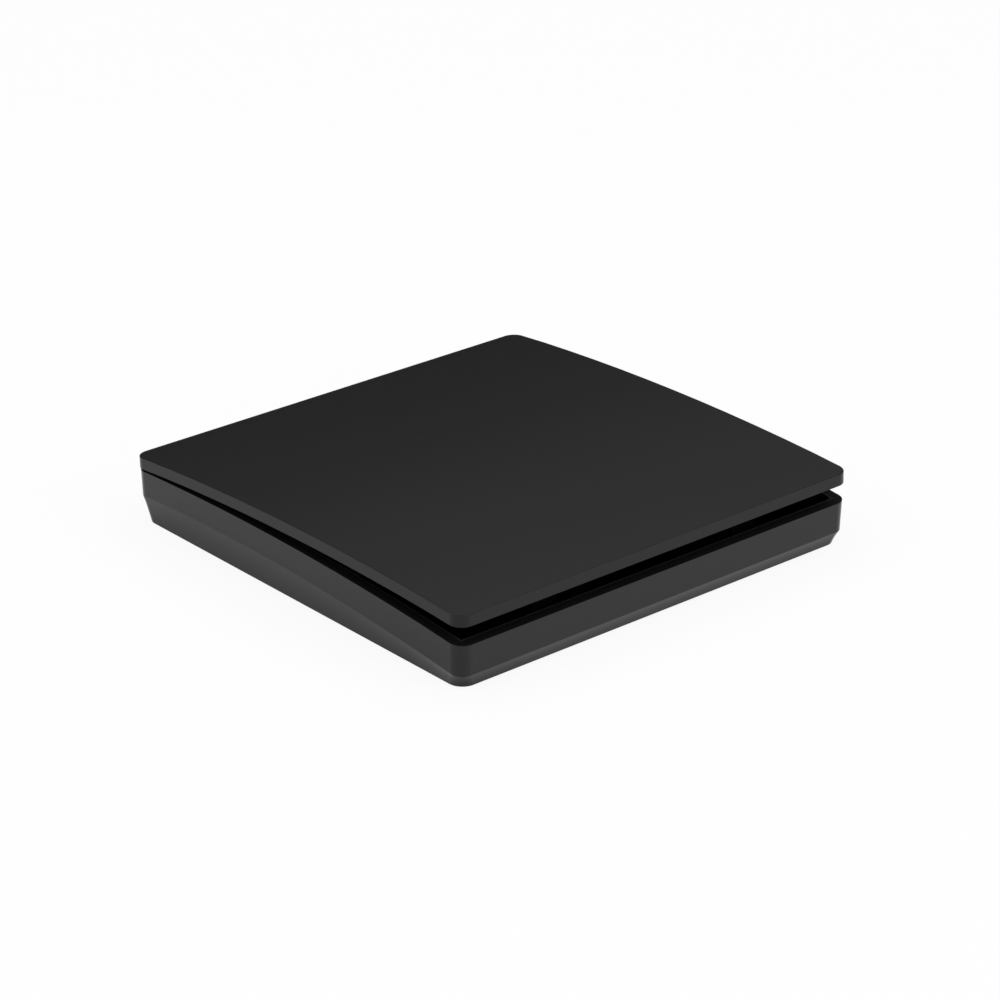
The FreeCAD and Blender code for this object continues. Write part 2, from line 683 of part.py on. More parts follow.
def make_plate():
    body = body_named("rocker_plate")
    drawing = sketch(body, "profile", "XZ_Plane")
    arched(drawing, f"-{half_face}", half_face, low_lift="seam_gap", high_lift=top_lift)
    pad(body, drawing, "face_size", symmetric=True)
    dress(body, "Fillet", "Radius", "corner_round", upright)
    centre = FreeCAD.Vector(value(arch_x), 0, value(arch_z))

    def on_lift(lift):
        radius = value(f"arch_radius + {lift}")

        def wanted(edge):
            marks = [edge.valueAt(t) for t in (edge.FirstParameter, edge.LastParameter)]
            marks.append(edge.valueAt((edge.FirstParameter + edge.LastParameter) / 2))
            gaps = [abs(math.hypot(mark.x - centre.x, mark.z - centre.z) - radius) for mark in marks]
            return max(gaps) < 1e-4
        return wanted

    dress(body, "Chamfer", "Size", "edge_break", on_lift(top_lift))
    dress(body, "Chamfer", "Size", "edge_bevel", on_lift("seam_gap"))

    drawing = sketch(body, "recess", "XZ_Plane")
    arched(drawing, f"border_width - {half_face}", f"{half_face} - border_width",
           low="0", high_lift=web_lift)
    cut(body, drawing, "face_size - 2 * border_width", symmetric=True)

    root = "rib_thick / 3"
    for side in ("", "-"):
        drawing = sketch(body, f"side_rib{side and '_b'}", "XZ_Plane", f"{side}{side_rib_spread}")
        arched(drawing, rear_rib_x, front_rib_x,
               low_lift=f"({web_lift} - rib_depth)", high_lift=f"({web_lift} + {root})")
        pad(body, drawing, "rib_thick", symmetric=True)
    for name, x in (("rear_rib", rear_rib_x), ("front_rib", front_rib_x)):
        drawing = sketch(body, name, "XZ_Plane")
        arched(drawing, f"{x} - rib_thick / 2", f"{x} + rib_thick / 2",
               low=f"{arch_at(x, web_lift)} - rib_depth", high_lift=f"({web_lift} + {root})")
        pad(body, drawing, f"2 * {side_rib_spread} + rib_thick", symmetric=True)

    lug_half = "(pin_radius + lug_wall)"
    barb_x = f"({ledge_x} + barb_grip)"
    barb_top = f"(ledge_height - latch_clear - ({barb_x} - {hinge_x}) * sin(rest_tilt))"
    hook_x = f"({ledge_x} - hook_gap)"
    for side in ("", "-"):
        tail = side and "_b"
        drawing = sketch(body, f"lug{tail}", "XZ_Plane", f"{side}{hinge_spread}")
        arched(drawing, f"{hinge_x} - {lug_half}", f"{hinge_x} + {lug_half}",
               low="hinge_height", high_lift=f"({web_lift} + {root})")
        pad(body, drawing, "lug_length", symmetric=True)
        drawing = sketch(body, f"knuckle{tail}", "XZ_Plane", f"{side}{hinge_spread}")
        circle(drawing, hinge_x, "hinge_height", lug_half)
        pad(body, drawing, "lug_length", symmetric=True)
        drawing = sketch(body, f"pin{tail}", "XZ_Plane", f"{side}{hinge_spread}")
        circle(drawing, hinge_x, "hinge_height", "pin_radius")
        pad(body, drawing, "lug_length / 2 + lug_gap + ear_thick", reverse=bool(side))
        drawing = sketch(body, f"hook{tail}", "XZ_Plane", f"{side}{latch_spread}")
        arched(drawing, f"{hook_x} - hook_thick", hook_x,
               low=f"{barb_top} - barb_thick", high_lift=f"({web_lift} + {root})")
        pad(body, drawing, "latch_width", symmetric=True)
        drawing = sketch(body, f"barb{tail}", "XZ_Plane", f"{side}{latch_spread}")
        polygon(drawing, (f"{hook_x} - hook_thick / 2", f"{barb_top} - barb_thick"),
                (hook_x, f"{barb_top} - barb_thick"), (barb_x, f"{barb_top} - barb_thick / 2"),
                (barb_x, barb_top), (f"{hook_x} - hook_thick / 2", barb_top))
        pad(body, drawing, "latch_width", symmetric=True)

    rest_x = f"(pivot_x + lever_reach * cos({flip}) - {leaf_top} * sin({flip}) - {hinge_x})"
    rest_z = (f"({pivot_z} + {leaf_top} * cos({flip}) + lever_reach * sin({flip})"
              " + drive_clear - hinge_height)")
    drive_x = f"({hinge_x} + {rest_x} * cos(rest_tilt) + {rest_z} * sin(rest_tilt))"
    drive_z = f"(hinge_height - {rest_x} * sin(rest_tilt) + {rest_z} * cos(rest_tilt))"
    drawing = sketch(body, "drive_rib", "XZ_Plane")
    arched(drawing, f"{drive_x} - drive_radius", f"{drive_x} + drive_radius",
           low=f"{drive_z} + drive_radius", high_lift=f"({web_lift} + {root})")
    pad(body, drawing, "drive_width", symmetric=True)
    drawing = sketch(body, "drive_nose", "XZ_Plane")
    circle(drawing, drive_x, f"{drive_z} + drive_radius", "drive_radius")
    pad(body, drawing, "drive_width", symmetric=True)

    turn = FreeCAD.Rotation(FreeCAD.Vector(0, 1, 0), -value("rest_tilt"))
    body.Placement = FreeCAD.Placement(FreeCAD.Vector(), turn)
    bind(body, "Placement.Base.x",
         f"{hinge_x} - ({hinge_x} * cos(rest_tilt) - hinge_height * sin(rest_tilt))")
    bind(body, "Placement.Base.z",
         f"hinge_height - ({hinge_x} * sin(rest_tilt) + hinge_height * cos(rest_tilt))")
    bind(body, "Placement.Rotation.Angle", "-rest_tilt")
    return body


def cover_corners(x):
    across = "(cover_half_width - cover_screw_inset)"
    return [(x, across), (x, f"-{across}")]


def cover_screw_spots():
    return cover_corners("(cover_front_x - cover_screw_inset)")


def cover_rest_spots():
    return cover_corners("(cover_rear_x + cover_screw_inset)")


def frame_screw_spots():
    return [("(frame_rear_x - rear_lug_length / 2)", "0"), ("(frame_front_x - front_bar_width / 2)", "0")]


rib_low = f"({arch_at(front_rib_x, web_lift)} - rib_depth)"
bumper_top = f"({rib_low} + ({front_rib_x} - {hinge_x}) * sin(rest_tilt - press_angle) - bumper_clear)"


def cut_corners(drawing, left, right, low, high, corner):
    polygon(drawing, (f"{left} + {corner}", low), (f"{right} - {corner}", low), (right, f"{low} + {corner}"),
            (right, f"{high} - {corner}"), (f"{right} - {corner}", high), (f"{left} + {corner}", high),
            (left, f"{high} - {corner}"), (left, f"{low} + {corner}"))


def make_cover():
    body = body_named("inner_cover")
    skirt_low = f"({cover_under} - skirt_drop)"
    drawing = sketch(body, "outline", offset=skirt_low)
    cut_corners(drawing, "cover_rear_x", "cover_front_x",
                "-cover_half_width", "cover_half_width", "cover_corner")
    pad(body, drawing, "cover_thick + skirt_drop")
    drawing = sketch(body, "hollow", offset=cover_under)
    inner = "(cover_half_width - skirt_thick)"
    cut_corners(drawing, "(cover_rear_x + skirt_thick)", "(cover_front_x - skirt_thick)",
                f"-{inner}", inner, "(cover_corner - skirt_thick / 2)")
    cut(body, drawing, "skirt_drop")
    drawing = sketch(body, "window", offset=cover_top)
    rectangle(drawing, "window_rear_x", "window_front_x", "-window_half_width", "window_half_width")
    cut(body, drawing, "cover_thick")
    drawing = sketch(body, "tongues", offset=skirt_low)
    for side in ("", "-"):
        rectangle(drawing, "cover_rear_x - tongue_reach", "cover_rear_x + skirt_thick / 2",
                  f"{side}tongue_offset - tongue_width / 2", f"{side}tongue_offset + tongue_width / 2")
    pad(body, drawing, "tongue_thick")
    bores(body, "holes", cover_screw_spots(), "screw_radius + screw_clear", cover_top, "cover_thick")
    return body


def make_frame():
    body = body_named("generator_frame")
    inside = f"({carrier_half} + frame_gap)"
    drawing = sketch(body, "walls", offset="floor_thick")
    rectangle(drawing, "frame_rear_x", "frame_front_x", inside, frame_half)
    rectangle(drawing, "frame_rear_x", "frame_front_x", f"-{frame_half}", f"-{inside}")
    floor = sketch(body, "floor", offset="floor_thick")
    rectangle(floor, "frame_rear_x", "bobbin_rear_x + bobbin_length", f"-{frame_half}", frame_half)
    pad(body, floor, "frame_floor")
    pad(body, drawing, "frame_wall_low")
    drawing = sketch(body, "towers", offset="floor_thick")
    for low, high in ((inside, frame_half), (f"-{frame_half}", f"-{inside}")):
        rectangle(drawing, "pivot_x - tower_half", "pivot_x + tower_half", low, high)
    pad(body, drawing, "frame_wall_high")
    core_low = "(pivot_rise - core_thick / 2)"
    drawing = sketch(body, "yoke_seat", offset="floor_thick")
    rectangle(drawing, "frame_rear_x", "core_rear_x + yoke_width", f"-{inside}", inside)
    pad(body, drawing, core_low)
    drawing = sketch(body, "yoke_stop", offset="floor_thick")
    rectangle(drawing, "frame_rear_x", "core_rear_x", f"-{inside}", inside)
    pad(body, drawing, f"{core_low} + core_thick + yoke_stop_rise")
    drawing = sketch(body, "front_bar", offset=frame_lug_z)
    rectangle(drawing, "frame_front_x - front_bar_width", "frame_front_x", f"-{frame_half}", frame_half)
    pad(body, drawing, "frame_lug_thick")
    drawing = sketch(body, "rear_lug", offset=frame_lug_z)
    rectangle(drawing, "frame_rear_x - rear_lug_length", "core_rear_x",
              "-rear_lug_width / 2", "rear_lug_width / 2")
    pad(body, drawing, "frame_lug_thick")
    drawing = sketch(body, "bearings", "XZ_Plane")
    circle(drawing, "pivot_x", pivot_z, "trunnion_radius + trunnion_clear")
    cut(body, drawing, f"2 * {frame_half} + frame_wall", symmetric=True)
    bores(body, "holes", frame_screw_spots(), "screw_radius + screw_clear",
          f"{frame_lug_z} + frame_lug_thick", "frame_lug_thick")
    return body


def make_core():
    body = body_named("laminated_core")
    drawing = sketch(body, "outline", offset=f"{pivot_z} - core_thick / 2")
    coil_low, coil_high = "coil_leg_y - leg_width / 2", "coil_leg_y + leg_width / 2"
    back_low, back_high = "return_leg_y - leg_width / 2", "return_leg_y + leg_width / 2"
    yoke = "core_rear_x + yoke_width"
    coil_end = "pivot_x + magnet_shift_x - magnet_length / 2 - leg_tip_gap"
    back_end = "pivot_x + pole_reach - return_leg_short"
    polygon(drawing, ("core_rear_x", coil_low), (coil_end, coil_low), (coil_end, coil_high),
            (yoke, coil_high), (yoke, back_low), (back_end, back_low), (back_end, back_high),
            ("core_rear_x", back_high))
    pad(body, drawing, "core_thick")
    return body


def around_leg(drawing, width, height):
    rectangle(drawing, f"coil_leg_y - {width}", f"coil_leg_y + {width}",
              f"{pivot_z} - {height}", f"{pivot_z} + {height}")


hole_width = "(leg_width / 2 + bobbin_clear)"
hole_height = "(core_thick / 2 + bobbin_clear)"
tube_width = f"({hole_width} + tube_wall)"
tube_height = f"({hole_height} + tube_wall)"
bobbin_end = "(bobbin_rear_x + bobbin_length)"


def make_bobbin():
    body = body_named("coil_bobbin")
    drawing = sketch(body, "tube", "YZ_Plane", "bobbin_rear_x")
    around_leg(drawing, tube_width, tube_height)
    pad(body, drawing, "bobbin_length")
    for name, x in (("rear_flange", "bobbin_rear_x"), ("front_flange", f"{bobbin_end} - flange_thick")):
        drawing = sketch(body, name, "YZ_Plane", x)
        around_leg(drawing, "flange_half_width", "flange_half_height")
        pad(body, drawing, "flange_thick")
    drawing = sketch(body, "leg_hole", "YZ_Plane", bobbin_end)
    around_leg(drawing, hole_width, hole_height)
    cut(body, drawing, "bobbin_length")
    return body


winding_half = "(flange_half_width - winding_margin)"


def make_winding():
    body = body_named("coil_winding")
    drawing = sketch(body, "outside", "YZ_Plane", "bobbin_rear_x + flange_thick")
    tall = "(flange_half_height - winding_margin)"
    rounded(drawing, f"coil_leg_y - {winding_half}", f"coil_leg_y + {winding_half}",
            f"{pivot_z} - {tall}", f"{pivot_z} + {tall}", "winding_round")
    pad(body, drawing, "bobbin_length - 2 * flange_thick")
    drawing = sketch(body, "inside", "YZ_Plane", f"{bobbin_end} - flange_thick")
    around_leg(drawing, tube_width, tube_height)
    cut(body, drawing, "bobbin_length - 2 * flange_thick")
    return body


def bent_wire(name, role, offset, points, radius):
    frame = doc.addObject("PartDesign::Body", f"{name}_path")
    path = sketch(frame, "line", role, offset)
    for start, end in zip(points, points[1:]):
        path.addGeometry(Part.LineSegment(spot(*start), spot(*end)))
    for k in range(1, len(points) - 1):
        path.addConstraint(Sketcher.Constraint("Coincident", k - 1, 2, k, 1))
    for k, point in enumerate(points[:-1]):
        locate(path, k, 1, *point)
    locate(path, len(points) - 2, 2, *points[-1])
    doc.recompute()
    ring = doc.addObject("Part::RegularPolygon", f"{name}_section")
    ring.Polygon = 8
    bind(ring, "Circumradius", radius)
    lead_in = path.Shape.Vertexes[0].Point
    heading = path.Shape.Edges[0].Vertexes[1].Point - lead_in
    ring.Placement = FreeCAD.Placement(lead_in, FreeCAD.Rotation(FreeCAD.Vector(0, 0, 1), heading))
    wire = doc.addObject("Part::Sweep", name)
    wire.Sections = [ring]
    wire.Spine = (path, [f"Edge{k}" for k in range(1, len(points))])
    wire.Solid = True
    wire.Transition = "Right corner"
    doc.recompute()
    return wire


def make_leads():
    start = f"coil_leg_y + {winding_half}"
    height = f"{pivot_z} + lead_rise"
    landing = "board_near_y + lead_landing"
    leads = []
    for k in range(2):
        points = [(start, height), (landing, height), (landing, board_top)]
        leads.append(bent_wire(f"lead_{k}", "YZ_Plane", f"lead_x + {k} * lead_pitch", points, "lead_radius"))
    return gathered("coil_leads", leads)


def make_antenna():
    height = f"{board_top} + antenna_rise"
    points = [("antenna_rear_x", board_top), ("antenna_rear_x", height),
              ("antenna_front_x", height), ("antenna_front_x", board_top)]
    loop = bent_wire("antenna_loop", "XZ_Plane", f"-{antenna_y}", points, "antenna_radius")
    return gathered("loop_antenna", [loop])


def make_board():
    body = body_named("circuit_board")
    drawing = sketch(body, "outline", offset=board_z)
    rectangle(drawing, "board_rear_x", "board_front_x", "board_near_y", board_far)
    pad(body, drawing, "board_thick")
    return body


def chip(name, length, width, height, x, y):
    return block(name, (length, width, height), (f"{x} - {length} / 2", f"{y} - {width} / 2", board_top))


def make_components():
    parts = [
        chip("radio_chip", "chip_width", "chip_width", "chip_height", "chip_x", far_row),
        chip("rectifier", "rectifier_length", "rectifier_width", "rectifier_height",
             "rectifier_x", near_row),
        chip("inductor", "inductor_width", "inductor_width", "inductor_height", "inductor_x", far_row),
        chip("crystal", "crystal_length", "crystal_width", "crystal_height", "crystal_x", far_row),
    ]
    apart = "(capacitor_length + capacitor_gap) / 2"
    cells = [chip(f"capacitor_{k}", "capacitor_length", "capacitor_width", "capacitor_height",
                  f"(capacitor_x {sign} {apart})", near_row) for k, sign in enumerate("-+")]
    parts.append(gathered("storage_capacitors", cells))
    return parts


def make_bumpers():
    bumpers = []
    low = f"({bumper_top} - bumper_thick)"
    for k, y in enumerate(("bumper_offset", "-bumper_offset")):
        cap = block(f"bumper_{k}_cap", ("2 * bumper_half", "2 * bumper_half", "bumper_thick"),
                    (f"{front_rib_x} - bumper_half", f"{y} - bumper_half", low))
        stem = block(f"bumper_{k}_stem",
                     ("2 * bumper_stem_half", "2 * bumper_stem_half", "bumper_stem_length"),
                     (f"{front_rib_x} - bumper_stem_half", f"{y} - bumper_stem_half",
                      f"{low} - bumper_stem_length"))
        bumpers.append(joined(f"bumper_{k}", cap, stem))
    return gathered("press_bumpers", bumpers)


def folded_strip(drawing, bend_x, bend_z, foot_x, tip_x, tip_z):
    radius, thick = value("spring_bend_radius"), value("strip_thick")
    inner = "(spring_bend_radius - strip_thick)"
    centre = spot(bend_x, bend_z)
    tip = spot(tip_x, tip_z)
    reach = tip - centre
    slope = math.atan2(reach.y, reach.x) - math.asin(radius / reach.Length)
    across = FreeCAD.Vector(-math.sin(slope), math.cos(slope), 0)
    down = FreeCAD.Vector(0, -1, 0)
    foot = FreeCAD.Vector(value(foot_x), centre.y - radius, 0)
    corners = [centre + down * radius, foot, foot - down * thick, centre + down * (radius - thick),
               centre + across * (radius - thick), tip - across * thick, tip, centre + across * radius]
    ends = [(0, 1), (1, 2), (2, 3), (4, 5), (5, 6), (6, 7)]
    bottom, foot_end, inside, under, tip_end, top = [
        drawing.addGeometry(Part.LineSegment(corners[a], corners[b])) for a, b in ends]
    axis = FreeCAD.Vector(0, 0, 1)
    turn = (slope + math.pi / 2, 3 * math.pi / 2)
    outer_bend, inner_bend = [drawing.addGeometry(Part.ArcOfCircle(Part.Circle(centre, axis, size), *turn))
                              for size in (radius, radius - thick)]
    limit(drawing, "Radius", "spring_bend_radius", outer_bend)
    limit(drawing, "Radius", inner, inner_bend)
    locate(drawing, outer_bend, 3, bend_x, bend_z)
    rules = [("Coincident", inner_bend, 3, outer_bend, 3), ("Tangent", outer_bend, 2, bottom, 1),
             ("Tangent", inner_bend, 2, inside, 2), ("Tangent", outer_bend, 1, top, 2),
             ("Tangent", inner_bend, 1, under, 1), ("Coincident", bottom, 2, foot_end, 1),
             ("Coincident", foot_end, 2, inside, 1), ("Coincident", under, 2, tip_end, 1),
             ("Coincident", tip_end, 2, top, 1), ("Horizontal", bottom), ("Horizontal", inside),
             ("Vertical", foot_end), ("Perpendicular", tip_end, top), ("Parallel", under, top)]
    for rule in rules:
        drawing.addConstraint(Sketcher.Constraint(*rule))
    limit(drawing, "DistanceX", foot_x, -1, 1, bottom, 2)
    locate(drawing, top, 1, tip_x, tip_z)


def make_spring(label, offset):
    body = body_named(label)
    web = f"({arch_at('spring_tip_x', web_lift)} - hinge_height)"
    tip_z = (f"(hinge_height + {web} * cos(rest_tilt) + (spring_tip_x - {hinge_x}) * sin(rest_tilt)"
             " - spring_clear)")
    drawing = sketch(body, "strip", "XZ_Plane", offset)
    folded_strip(drawing, "spring_bend_x", "floor_thick + spring_bend_radius", "spring_foot_x",
                 "spring_tip_x", tip_z)
    pad(body, drawing, "spring_width", symmetric=True)
    return body


def make_carrier():
    body = body_named("magnet_carrier")
    ends = ("-carrier_half_length", "carrier_half_length")
    lip_low = f"-{pole_top} - lip_thick"
    drawing = sketch(body, "bridge", offset=pole_top)
    rectangle(drawing, *ends, f"-{carrier_half}", carrier_half)
    pad(body, drawing, "bridge_thick")
    drawing = sketch(body, "cheeks", offset=lip_low)
    rectangle(drawing, *ends, "carrier_half_width", carrier_half)
    rectangle(drawing, *ends, f"-{carrier_half}", "-carrier_half_width")
    pad(body, drawing, f"{bridge_top} - ({lip_low})")
    drawing = sketch(body, "lips", offset=lip_low)
    rectangle(drawing, *ends, "carrier_half_width - lip_width", carrier_half)
    rectangle(drawing, *ends, f"-{carrier_half}", "lip_width - carrier_half_width")
    pad(body, drawing, "lip_thick")
    length = "cheek_thick / 2 + frame_gap + frame_wall - trunnion_end_gap"
    for name, offset, reverse in (("trunnion_a", f"{carrier_half} - cheek_thick / 2", False),
                                  ("trunnion_b", f"cheek_thick / 2 - {carrier_half}", True)):
        drawing = sketch(body, name, "XZ_Plane", offset)
        circle(drawing, "0", "0", "trunnion_radius")
        pad(body, drawing, length, reverse=reverse)
    for name, low, height, margin in (("stakes", bridge_top, "leaf_thick", "0"),
                                      ("stake_heads", leaf_top, "stake_head", "stake_head")):
        drawing = sketch(body, name, offset=low)
        stake_slots(drawing, margin)
        pad(body, drawing, height)
    return ride_pivot(body)


def stake_slots(drawing, margin):
    for x in ("stake_spacing / 2", "-stake_spacing / 2"):
        rectangle(drawing, f"{x} - stake_length / 2 - {margin}", f"{x} + stake_length / 2 + {margin}",
                  f"-stake_width / 2 - {margin}", f"stake_width / 2 + {margin}")


def make_magnet():
    body = body_named("magnet")
    drawing = sketch(body, "outline", offset=f"-{magnet_half}")
    rectangle(drawing, "magnet_shift_x - magnet_length / 2", "magnet_shift_x + magnet_length / 2",
              "magnet_shift_y - magnet_width / 2", "magnet_shift_y + magnet_width / 2")
    pad(body, drawing, f"2 * {magnet_half}")
    return ride_pivot(body)


def make_pole_plate(label, low):
    body = body_named(label)
    drawing = sketch(body, "outline", offset=low)
    rectangle(drawing, "-pole_reach", "pole_reach", "-carrier_half_width", "carrier_half_width")
    pad(body, drawing, "pole_thick")
    return ride_pivot(body)


def make_leaf():
    body = body_named("leaf_spring")
    drawing = sketch(body, "outline", offset=bridge_top)
    cut_corners(drawing, "-leaf_rear", "(lever_reach + leaf_tip)", "-leaf_width / 2", "leaf_width / 2",
                "leaf_corner")
    pad(body, drawing, "leaf_thick")
    drawing = sketch(body, "slots", offset=leaf_top)
    stake_slots(drawing, "stake_clear")
    cut(body, drawing, "leaf_thick")
    return ride_pivot(body)


pieces = [
    make_housing(),
    make_plate(),
    make_cover(),
    screw_set("cover_screws", cover_screw_spots(), cover_top, "cover_screw_length"),
    make_frame(),
    screw_set("generator_screws", frame_screw_spots(), f"({frame_lug_z} + frame_lug_thick)",
              "frame_screw_length"),
    make_core(),
    make_bobbin(),
    make_winding(),
    make_leads(),
    make_board(),
    *make_components(),
    make_antenna(),
    make_bumpers(),
    make_spring("return_spring_left", spring_spread),
    make_spring("return_spring_right", f"-{spring_spread}"),
    make_carrier(),
    make_magnet(),
    make_pole_plate("upper_pole_plate", magnet_half),
    make_pole_plate("lower_pole_plate", f"-{pole_top}"),
    make_leaf(),
]
doc.recompute()

for item in doc.Objects:
    if "Invalid" in item.State or "Error" in item.State:
        raise ValueError(f"{item.Name}: {item.State}")
for piece in pieces:
    if piece.Shape.isNull() or not piece.Shape.isValid():
        raise ValueError(f"{piece.Label} has no valid shape")
    piece.Shape.exportStep(f"parts/{piece.Label}.step")
    print(piece.Label, len(piece.Shape.Solids), round(piece.Shape.Volume, 2))
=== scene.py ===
import math
import bmesh
import bpy
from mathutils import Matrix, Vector
from mathutils.kdtree import KDTree


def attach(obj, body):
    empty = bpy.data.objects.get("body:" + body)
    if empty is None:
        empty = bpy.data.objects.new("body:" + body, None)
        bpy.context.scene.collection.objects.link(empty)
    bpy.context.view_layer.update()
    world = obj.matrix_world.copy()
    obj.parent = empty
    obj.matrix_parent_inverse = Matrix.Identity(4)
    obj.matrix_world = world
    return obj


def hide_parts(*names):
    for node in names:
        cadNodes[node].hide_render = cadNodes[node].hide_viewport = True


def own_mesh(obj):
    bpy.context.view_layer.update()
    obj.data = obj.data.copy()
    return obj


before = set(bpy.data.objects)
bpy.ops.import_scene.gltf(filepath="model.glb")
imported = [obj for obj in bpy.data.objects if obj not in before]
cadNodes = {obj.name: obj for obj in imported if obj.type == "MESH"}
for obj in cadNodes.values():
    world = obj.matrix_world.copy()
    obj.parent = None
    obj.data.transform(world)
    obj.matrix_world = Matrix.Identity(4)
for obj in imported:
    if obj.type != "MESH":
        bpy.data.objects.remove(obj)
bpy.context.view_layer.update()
print("frame loaded,", len(cadNodes), "CAD nodes")


def mm(size):
    return size / 1000


def perMm(size):  # texture scale that gives features of this size in millimetres
    return 1000 / size


def toLinear(hexColour):
    channels = [int(hexColour[k:k + 2], 16) / 255 for k in (1, 3, 5)]
    return [c / 12.92 if c <= 0.04045 else ((c + 0.055) / 1.055) ** 2.4 for c in channels] + [1]


def addNode(tree, kind, values=None, links=None):
    node = tree.nodes.new(kind)
    for name, value in (values or {}).items():
        if isinstance(name, int) or name in node.inputs:
            node.inputs[name].default_value = value
        else:
            setattr(node, name, value)
    for name, output in (links or {}).items():
        tree.links.new(output, node.inputs[name])
    return node


def startTree(owner):
    owner.use_nodes = True
    owner.node_tree.nodes.clear()
    return owner.node_tree


def startMaterial(name):
    material = bpy.data.materials.new(name)
    tree = startTree(material)
    shader = addNode(tree, "ShaderNodeBsdfPrincipled")
    addNode(tree, "ShaderNodeOutputMaterial", links={"Surface": shader.outputs["BSDF"]})
    place = addNode(tree, "ShaderNodeTexCoord").outputs["Object"]
    return material, tree, shader, place


def wear(material, *names):
    for name in names:
        cadNodes[name].material_slots[0].material = material


# Stage: white floor, grey studio wall that only reflections and light see, soft lamps
stageLook = {
    "floorSide": 12.0, "floorDrop": -0.05, "floorColour": "#f4f4f4", "floorGlow": 0.9, "glowColour": "#ffffff",
    # painted light: how strongly the floor glows in reflections, weaker on its left than on its right
    "leftPaintedReflection": 0.35, "rightPaintedReflection": 0.85, "paintedReflectionSpan": 15.0, "shadedHalf": 38.0,
    "wallRadius": 1.7, "wallHeight": 1.5, "wallSides": 96,
    "wallLow": 0.03, "wallHigh": 0.585, "wallStart": 0.35, "wallEnd": 1.5,
    "skyColour": "#ffffff", "skyLight": 1.3, "skySeen": 1.0,
}
scene = bpy.context.scene
scene.view_settings.view_transform = "Standard"

bpy.ops.object.select_all(action="DESELECT")
bpy.ops.mesh.primitive_plane_add(size=stageLook["floorSide"], location=(0, 0, mm(stageLook["floorDrop"])))
floor = bpy.context.object
floor.name = "floor"
floorPaint = bpy.data.materials.new("whiteFloor")
tree = startTree(floorPaint)
rays = addNode(tree, "ShaderNodeLightPath")
place = addNode(tree, "ShaderNodeTexCoord").outputs["Object"]
clear = addNode(tree, "ShaderNodeMath", {"operation": "MAXIMUM"},
                {0: rays.outputs["Is Camera Ray"], 1: rays.outputs["Is Transmission Ray"]})
half = addNode(tree, "ShaderNodeVectorMath", {"operation": "ABSOLUTE"}, {0: place})
sides = addNode(tree, "ShaderNodeSeparateXYZ", links={0: half.outputs[0]})
reach = addNode(tree, "ShaderNodeMath", {"operation": "MAXIMUM"},
                {0: sides.outputs["X"], 1: sides.outputs["Y"]})
openFloor = addNode(tree, "ShaderNodeMath", {"operation": "GREATER_THAN", 1: mm(stageLook["shadedHalf"])},
                    {0: reach.outputs[0]})  # no glow under the switch, so its screw holes look dark
level = addNode(tree, "ShaderNodeMath", {"operation": "MULTIPLY", 1: stageLook["floorGlow"]},
                {0: clear.outputs[0]})
white = addNode(tree, "ShaderNodeMath", {"operation": "MULTIPLY"},
                {0: level.outputs[0], 1: openFloor.outputs[0]})
spot = addNode(tree, "ShaderNodeSeparateXYZ", links={0: place})
across = addNode(tree, "ShaderNodeMath", {"operation": "ADD"}, {0: spot.outputs["X"], 1: spot.outputs["Y"]})
gloss = addNode(tree, "ShaderNodeMapRange", {  # painted light: the floor's glow seen in reflections is painted weaker on the left than on the right, so the left of the switch mirrors a darker floor
    "From Min": mm(-stageLook["paintedReflectionSpan"]), "From Max": mm(stageLook["paintedReflectionSpan"]),
    "To Min": stageLook["leftPaintedReflection"], "To Max": stageLook["rightPaintedReflection"]}, {"Value": across.outputs[0]})
share = addNode(tree, "ShaderNodeMath", {"operation": "MULTIPLY_ADD"},
                {0: rays.outputs["Is Glossy Ray"], 1: gloss.outputs[0], 2: white.outputs[0]})
matt = addNode(tree, "ShaderNodeBsdfDiffuse", {"Color": toLinear(stageLook["floorColour"])})
glow = addNode(tree, "ShaderNodeEmission", {"Color": toLinear(stageLook["glowColour"])})
mixed = addNode(tree, "ShaderNodeMixShader",
                links={0: share.outputs[0], 1: matt.outputs[0], 2: glow.outputs[0]})
under = addNode(tree, "ShaderNodeNewGeometry").outputs["Backfacing"]
clearPane = addNode(tree, "ShaderNodeBsdfTransparent")  # clear from below, so the back can be looked at
both = addNode(tree, "ShaderNodeMixShader", links={0: under, 1: mixed.outputs[0], 2: clearPane.outputs[0]})
addNode(tree, "ShaderNodeOutputMaterial", links={"Surface": both.outputs[0]})
floor.data.materials.append(floorPaint)

bpy.ops.mesh.primitive_cylinder_add(
    vertices=stageLook["wallSides"], radius=stageLook["wallRadius"], depth=stageLook["wallHeight"],
    end_fill_type="NOTHING", location=(0, 0, stageLook["wallHeight"] / 2))
studioWall = bpy.context.object
studioWall.name = "studioWall"
bpy.ops.object.transform_apply(location=True, rotation=True, scale=True)
studioWall.visible_camera = False
wallPaint = bpy.data.materials.new("greyStudioWall")
tree = startTree(wallPaint)
place = addNode(tree, "ShaderNodeTexCoord").outputs["Object"]
spot = addNode(tree, "ShaderNodeSeparateXYZ", links={0: place})
rise = addNode(tree, "ShaderNodeMapRange", {
    "interpolation_type": "SMOOTHSTEP", "From Min": stageLook["wallStart"], "From Max": stageLook["wallEnd"],
    "To Min": stageLook["wallLow"], "To Max": stageLook["wallHigh"]}, {"Value": spot.outputs["Z"]})
paint = addNode(tree, "ShaderNodeEmission", {"Color": toLinear(stageLook["glowColour"])},
                {"Strength": rise.outputs[0]})
addNode(tree, "ShaderNodeOutputMaterial", links={"Surface": paint.outputs[0]})
studioWall.data.materials.append(wallPaint)

